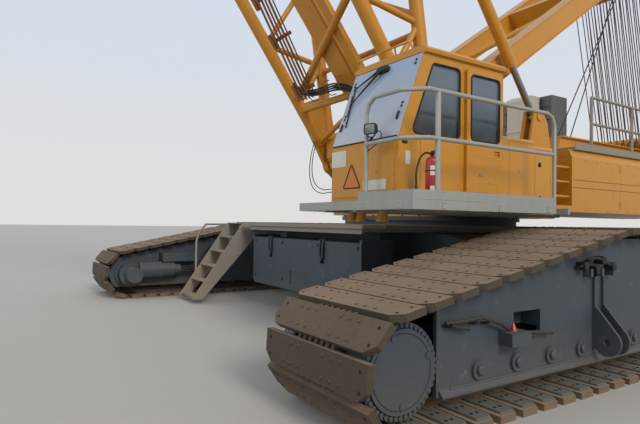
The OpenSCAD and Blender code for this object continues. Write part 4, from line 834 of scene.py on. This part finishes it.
def dressExtinguisher():
    at, r, high = np.array(extinguisher["at"]), extinguisher["r"], extinguisher["high"]
    dome = [(r * (0.32 + 0.68 * math.cos(a)), high - 0.05 + 0.05 * math.sin(a)) for a in np.linspace(0, math.pi / 2, 5)]
    profile = [(r * 0.9, 0), (r, 0.012)] + dome + [(0.018, high + 0.012)]
    makePiece("extinguisher", placed(turned(profile, 24), at, *facingUp), "red")
    a = np.linspace(0, 2 * math.pi, 24, endpoint=False)
    band = acrossZ((r + 0.003) * np.stack([np.cos(a), np.sin(a)], -1), 0.3) + at
    valve = [placed(turned(extinguisher["valve"], 10), at + [0, 0, high + 0.01], *facingUp)]
    valve += [tube([p + at, q + at], thick, 6) for p, q, thick in extinguisher["levers"]]
    makePiece("extinguisher_valve", valve + [tube(band, 0.006, 6, True)], "rope")
    a = np.linspace(0.5, 2.1, 13)
    for name, low, tall in extinguisher["labels"]:
        ring = acrossZ((r + 0.0015) * np.stack([np.cos(a), np.sin(a)], -1), low)
        inner = ring * [0.97, 0.97, 1]
        shell = np.stack([inner, ring, ring + [0, 0, tall], inner + [0, 0, tall]]).reshape(-1, 3)
        makePiece(name, (shell + at, sheetQuads(4, 13, False)), "white")
    nozzle = makePiece("extinguisher_nozzle", placed(turned(extinguisher["nozzle"], 10), at + extinguisher["nozzleAt"],
                                                     (0, 1, 0), (1, 0, 0)), "rubber")
    declareCord("extinguisher_hose", extinguisher["hose"] + at, extinguisher["hoseR"], "fitting", "superstructure",
                with_pieces=[nozzle])


# angle plates with two bolts at the foot of each post, seams of the kick plates
kick = {"z": 1.87, "sideX": (3.9, 2.1, 3.0), "frontY": (3.4, 3.95), "boltZ": (-0.028, 0.028), "proud": 0.008,
        "bolt": [(0.01, 0), (0.009, 0.008), (0.005, 0.009)]}


def dressKick():
    foot, bolt = roundPlate(0.07, 0.09, 0.008, 0.008, 0.002), turned(kick["bolt"], 6, False)
    front, face = platform["front"], platform["outer"]
    rows = ((np.array([(x, face, kick["z"]) for x in kick["sideX"]]), [0, kick["proud"], 0], facingSide),
            (np.array([(front, y, kick["z"]) for y in kick["frontY"]]), [kick["proud"], 0, 0], facingFront))
    shapes = [copies(foot, at, *axes) for at, _, axes in rows]
    shapes += [copies(bolt, at + out + [0, 0, d], *axes) for at, out, axes in rows for d in kick["boltZ"]]
    makePiece("kick_brackets", shapes, "grey")
    makePiece("kick_seams", [tube([(front + 0.001, 4.148, 1.83), (front + 0.001, 4.148, 2.02)], 0.004, 6),
                             tube([(3.3, face + 0.001, 1.93), (4.3, face + 0.001, 1.93)], 0.003, 6)], "grey")


dressLamp()
dressExtinguisher()
dressKick()
print("cab and platform done")

# Machinery houses and counterweights: hinges, locks, lifting eyes, rows of bolts, feet of the handrail's posts
house = {"rear": -5.6, "front": 0.83, "side": 3.68, "top": 2.79, "hingeX": (-0.497, -1.797, -3.097, -4.397),
         "hingeZ": (2.02, 2.58), "housingLocks": ((1.6, 3.68, 2.498), (1.584, 3.68, 2.047)),
         "leftLocks": (-1.6, -2.9, -4.2, -5.35), "rightLocks": (-1.2, -2.5, -3.8, -5.1), "boltGap": 0.3,
         "boltRows": (1.915, 2.64), "postX": (0.19, -1.01, -2.21, -3.41, -4.61, -5.5),
         "lock": [(0.035, 0), (0.034, 0.006), (0.014, 0.01), (0.012, 0.018)],
         "bolt": [(0.011, 0), (0.01, 0.007), (0.006, 0.009)], "peg": [(0.03, 0), (0.028, 0.015), (0.015, 0.02)],
         "eyes": ((-0.4, 2.0, 2.79), (-5.3, 2.0, 2.79), (-5.3, -3.4, 2.79), (-0.5, -3.4, 2.79), (1.4, 2.55, 2.75))}
stack = {"slabs": 9, "slab": 0.37, "foot": 2.3, "side": 3.15, "x": (-7.07, -6.63)}


def dressHouses():
    side, lock = house["side"], turned(house["lock"], 12, False)
    hinge = joined([tube([(0, 0.004, -0.05), (0, 0.004, 0.05)], 0.011),
                    placed(roundPlate(0.075, 0.07, 0.008, 0.006, 0.002), (0, 0, 0), *facingSide)])
    makePiece("house_hinges", [moved(hinge, (x, side, z)) for x in house["hingeX"] for z in house["hingeZ"]], "yellow")
    left, right = (copies(lock, [(x, side, z) for x in house[key]], *facingSide)
                   for key, z in (("leftLocks", 2.46), ("rightLocks", 1.98)))
    makePiece("house_locks", [copies(lock, house["housingLocks"], *facingSide), left, mirrored(right)], "rubber")
    xs = np.arange(house["rear"] + 0.08, house["front"] - 0.05, house["boltGap"])
    rows = [(x, side, z) for z in house["boltRows"] for x in xs]
    makePiece("house_bolts", bothSides(copies(turned(house["bolt"], 6, False), rows, *facingSide)), "yellow")
    eye = tube(circle(0.05, (0, 0, 0.045), 16), 0.013, 6, True)
    makePiece("lifting_eyes", [moved(eye, p) for p in house["eyes"]], "grey")
    feet = [(x, side - 0.08, house["top"] + 0.041) for x in house["postX"]]
    makePiece("post_feet", copies(roundPlate(0.1, 0.1, 0.01, 0.01, 0.003), feet, *facingUp), "grey")
    pegs = [(x, stack["side"], stack["foot"] + stack["slab"] * (i + 0.5)) for i in range(stack["slabs"])
            for x in stack["x"]]
    makePiece("peg_caps", bothSides(copies(turned(house["peg"], 6, False), pegs, *facingSide)), "blueGrey")


dressHouses()


# Winches and ropes: wound drums, hoist rope, the luffing ropes between both sheave sets
def dressWinches():
    half, foot = winch["half"], winch["drum"] - 0.02
    turns = int(2 * half / winch["rope"])
    u = np.arange(turns * 4 + 1) / 4
    # each turn of rope is an arch of a sine over the drum
    r = winch["drum"] + 0.008 + 0.022 * np.abs(np.sin(math.pi * u)) ** 0.7 + 0.045
    h = -half + 0.01 + u * (2 * half - 0.02) / turns
    drum = turned(np.concatenate([[(foot, h[0])], np.stack([r, h], -1), [(foot, h[-1])]]), 28)
    makePiece("wound_ropes", copies(drum, [(x, 0, winch["z"]) for x in winch["x"]], *facingOut), "rustyRope")
    ring = tube(circle(winch["rimR"]), 0.018, 6, True)
    makePiece("winch_rims", [moved(ring, (x, y, winch["z"])) for x in winch["x"] for y in bothSigns((winch["rimAt"],))],
              "sheave")


def tautRope(name, start, end, radius, finish):
    # straight ropes from start to end, on no body, with their transform baked into their points
    rope = makePiece(name, [tube([p, q], radius, 6) for p, q in zip(start, end)], finish, None)
    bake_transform(rope)


reeving = {"falls": 10, "first": -0.81, "step": 0.18, "rope": 0.013, "hoist": 0.014, "third": 0.7, "splay": 0.05}


def dressRopes():
    y = reeving["first"] + np.arange(reeving["falls"]) * reeving["step"]
    low = np.stack(np.broadcast_arrays(arm["lowX"], y, arm["lowZ"]), -1)
    high = armPoint(arm["headAlong"], y, arm["headOff"])
    way = unit(high[0] - low[0])
    out = np.array([-way[2], 0, way[0]]) * arm["sheaveR"]
    # two falls from each sheave, and a third that splays to the next one
    third, splay = out * reeving["third"], np.array([0, reeving["splay"], 0])
    start = np.concatenate([low + out, low - out, low[:-1] + third + splay])
    end = np.concatenate([high + out, high - out, high[1:] + third - splay])
    tautRope("luffing_ropes", start, end, reeving["rope"], "rustyRope")
    drumTop = winch["z"] + winch["leave"]
    tautRope("arm_ropes", np.array([(-3.3, 0.5, drumTop), (-4.4, 0.2, drumTop)]),
             armPoint(10.0, np.array([0.59, 0.41]), 0.05), reeving["hoist"], "rope")
    # hoist rope from the front winch up the boom's rear side to the head
    tautRope("hoist_lead", np.array([(-1.62, -0.4, drumTop)]), boomPoint(23.4, np.array([-0.36]), 0.95),
             reeving["hoist"], "rope")


dressWinches()
dressRopes()
print("ropes done")

# Boom: long rods stowed on the foot's front face, hoses over its cross tube, pins at the joints, sheave rims
stow = {"low": 1.52, "high": 5.7, "lift": 0.1, "rodR": 0.014, "rods": 9, "first": -1.13, "gap": 0.058, "drift": 0.55,
        "clampAt": (1.72, 2.75, 3.5, 4.7)}
bundle = {"hoses": 7, "hoseR": 0.017, "gap": 0.035, "bandAt": (-0.7, -0.1, 0.3), "bandR": 0.009,
          "band": ((1.42, 0.05), (1.42, 0.22), (1.7, 0.22), (1.7, 0.05))}
joint = {"head": [(0.075, 0), (0.075, 0.02), (0.06, 0.032)], "headOut": 0.118, "collarR": 0.135, "collarHalf": 0.018,
         "collars": (-0.13, 0.0, 0.13)}
headSheave = {"along": 24.0, "out": -0.95, "r": 0.452, "count": 5, "first": -0.44, "gap": 0.2, "rims": (0.008, 0.072)}


def onFront(u, y, lift):
    # a place on the front face of the foot, lift outside the chords' centre plane
    u = np.asarray(u, float)
    return boomPoint(u, y, -np.minimum(u, boom["taperEnd"]) * math.tan(boom["taper"]) - lift)


def dressStow():
    low, run = stow["low"], stow["high"] - stow["low"]
    t = np.linspace(0, 1, 6)
    rods = [tube(onFront(low + t * run - 0.02 * (k % 2), stow["first"] + k * stow["gap"] + t * stow["drift"],
                         stow["lift"] + 0.03 * (k % 2)), stow["rodR"] + 0.006 * (k % 3 == 0))
            for k in range(stow["rods"])]
    makePiece("stowed_rods", rods, "rustyRod", "boom")
    clamps, ax = [], np.array([0, 1, 0])
    bar, cleat = roundPlate(0.62, 0.07, 0.015, 0.05, 0.01), roundPlate(0.1, 0.3, 0.02, 0.05, 0.01)
    for u in stow["clampAt"]:
        y = stow["first"] + 0.225 + (u - low) / run * stow["drift"]
        way = unit(onFront(u + 0.1, y, 0.1) - onFront(u, y, 0.1))
        axes = ax, np.cross(np.cross(ax, way), ax)
        clamps += [placed(bar, onFront(u, y, 0.06), *axes), placed(cleat, onFront(u, y - 0.33, 0.08), *axes)]
    makePiece("rod_clamps", clamps, "rustyRod", "boom")


def dressBundle():
    hoses = []
    for k in range(bundle["hoses"]):
        d = bundle["gap"] * (k % 4)
        lift = 0.1 + 0.045 * (k // 4) + 0.012 * math.sin(2.4 * k)
        us, ys = np.array([(1.9 - d, -1.15 + d), (1.68 - d, -1.08 + d), (1.56 + d, -0.85), (1.5 + d, -0.45),
                           (1.5 + d * 1.2, 0.0), (1.46 + d, 0.3), (1.36 + d, 0.5), (1.15, 0.56 + d),
                           (0.75, 0.58 + d)]).T
        lifts = np.interp(np.arange(len(us)), [0, 2, 5, 8], [0.1, lift, lift + 0.05, 0.06])
        hoses.append(bent(onFront(us, ys, lifts), bundle["hoseR"], 6, 3))
    makePiece("boom_hoses", hoses, "rubber", "boom")
    makePiece("hose_bands", [bent([onFront(u, y, lift) for u, lift in bundle["band"]], bundle["bandR"], 6)
                             for y in bundle["bandAt"]], "rustyRod", "boom")


def dressJoints():
    # collars and pin heads where the sections meet, and rims round the head's sheaves
    head = turned(joint["head"], 16)
    along = unit(boomPoint(1, 0, 0) - boomPoint(0, 0, 0))
    shapes = []
    for u in (boom["foot"], boom["middle"]):
        for sy in (-1, 1):
            for sw in (-1, 1):
                c = boomPoint(u, sy * boom["halfWide"], sw * boom["halfDeep"])
                shapes += [tube([c + along * (d - joint["collarHalf"]), c + along * (d + joint["collarHalf"])],
                                joint["collarR"], 20) for d in joint["collars"]]
                shapes += [placed(head, c + [0, out * joint["headOut"], 0], along, np.cross([0, out, 0], along))
                           for out in (-1, 1)]
    makePiece("section_pins", shapes, "yellow", "boom")
    ring = circle(headSheave["r"]) + boomPoint(headSheave["along"], 0, headSheave["out"])
    makePiece("head_sheave_rims", [tube(ring + [0, headSheave["first"] + headSheave["gap"] * i + d, 0], 0.012, 6, True)
                                   for i in range(headSheave["count"]) for d in headSheave["rims"]], "sheave", "boom")


dressStow()
dressBundle()
dressJoints()

# Loose cables that hang from the boom's foot to the front of the girders: x, y, z from their upper end, and the
# share of the sag that each point takes
loose = {"names": (("loose_cable_front", 0.0, 0.0), ("loose_cable_rear", 0.09, 0.07)), "r": 0.009,
         "hang": ((0, 0, 0, 0), (0.035, -0.02, -0.12, 0), (0.1, -0.03, -0.42, 0), (0.12, 0.0, -0.8, 1),
                  (0.06, 0.06, -1.03, 1), (-0.08, 0.16, -1.12, 1), (-0.22, 0.28, -1.08, 1)),
         "fixed": ((1.38, -1.1, 2.34), (1.26, -1.06, 2.37))}


def hangingCables():
    for name, dy, sag in loose["names"]:
        top = boomPoint(0.62, -1.44 + dy, -0.29)
        path = [top + [x, y, z + share * sag] for x, y, z, share in loose["hang"]]
        path += [(x, y + dy, z) for x, y, z in loose["fixed"]]
        declareCord(name, path, loose["r"], "object", None, ("boom", "superstructure"))


hangingCables()
print("boom done")

# Floor, light and camera
floorHalf = 150
floorMesh = bpy.data.meshes.new("floor")
floorMesh.from_pydata([(x * floorHalf, y * floorHalf, 0) for x, y in ((-1, -1), (1, -1), (1, 1), (-1, 1))], [],
                      [(0, 1, 2, 3)])
floor = bpy.data.objects.new("floor", floorMesh)
bpy.context.scene.collection.objects.link(floor)
floorMesh.materials.append(paint("paleFloor", srgb(196, 188, 178), 0.9, 0.0, 0.1, 0.0, bump=0.02, fade=0.03))

light = {"sky": 0.7, "horizon": (0.48, srgb(226, 223, 218)), "zenith": (0.75, srgb(208, 221, 238)),
         "key": ((2, 30, 19), 1.5, 0.34, (1, 0.95, 0.87)), "fill": ((30, -6, 13), 0.5, 0.48, (0.92, 0.96, 1))}
world = bpy.data.worlds.new("studio")
bpy.context.scene.world = world
world.use_nodes = True
sky = world.node_tree
back = sky.nodes["Background"]
sepW = sky.nodes.new("ShaderNodeSeparateXYZ")
link(sky, sky.nodes.new("ShaderNodeTexCoord").outputs["Generated"], sepW.inputs[0])
ramp = sky.nodes.new("ShaderNodeValToRGB")
for stop, key in zip(ramp.color_ramp.elements, ("horizon", "zenith")):
    stop.position, stop.color = light[key]
link(sky, plus(sky, times(sky, sepW.outputs[2], 0.5), 0.5), ramp.inputs[0])
link(sky, ramp.outputs[0], back.inputs[0])
# the background is seen at its own colour, and lights the machine a little less
ways = sky.nodes.new("ShaderNodeLightPath").outputs
seen = mathNode(sky, "MAXIMUM", mathNode(sky, "MAXIMUM", ways["Is Camera Ray"], ways["Is Glossy Ray"]),
                ways["Is Transmission Ray"])
link(sky, plus(sky, times(sky, seen, 1 - light["sky"]), light["sky"]), back.inputs[1])


def softSun(name, towards, strength, spread, colour):
    data = bpy.data.lights.new(name, "SUN")
    data.energy, data.angle, data.color = strength, spread, colour
    o = bpy.data.objects.new(name, data)
    o.rotation_euler = Vector(towards).to_track_quat("Z", "Y").to_euler()
    bpy.context.scene.collection.objects.link(o)


softSun("key", *light["key"])
softSun("fill", *light["fill"])

camData = bpy.data.cameras.new("camera")
camData.sensor_width = view["sensor"]
camData.lens = view["focal"] / view["pixels"] * view["sensor"]
camData.clip_end = view["far"]
cam = bpy.data.objects.new("camera", camData)
bpy.context.scene.collection.objects.link(cam)
bpy.context.scene.camera = cam
phi, tilt, roll = (math.radians(view[k]) for k in ("heading", "pitch", "roll"))
ahead = Vector((-math.cos(phi) * math.cos(tilt), -math.sin(phi) * math.cos(tilt), math.sin(tilt)))
level = Vector((-math.sin(phi), math.cos(phi), 0))
above = level.cross(ahead)
right = level * math.cos(roll) - above * math.sin(roll)
top = above * math.cos(roll) + level * math.sin(roll)
cam.matrix_world = Matrix.Translation(view["place"]) @ Matrix((
    (right.x, top.x, -ahead.x), (right.y, top.y, -ahead.y), (right.z, top.z, -ahead.z))).to_4x4()
bpy.context.scene.view_settings.view_transform = "Standard"
print("camera and light done")
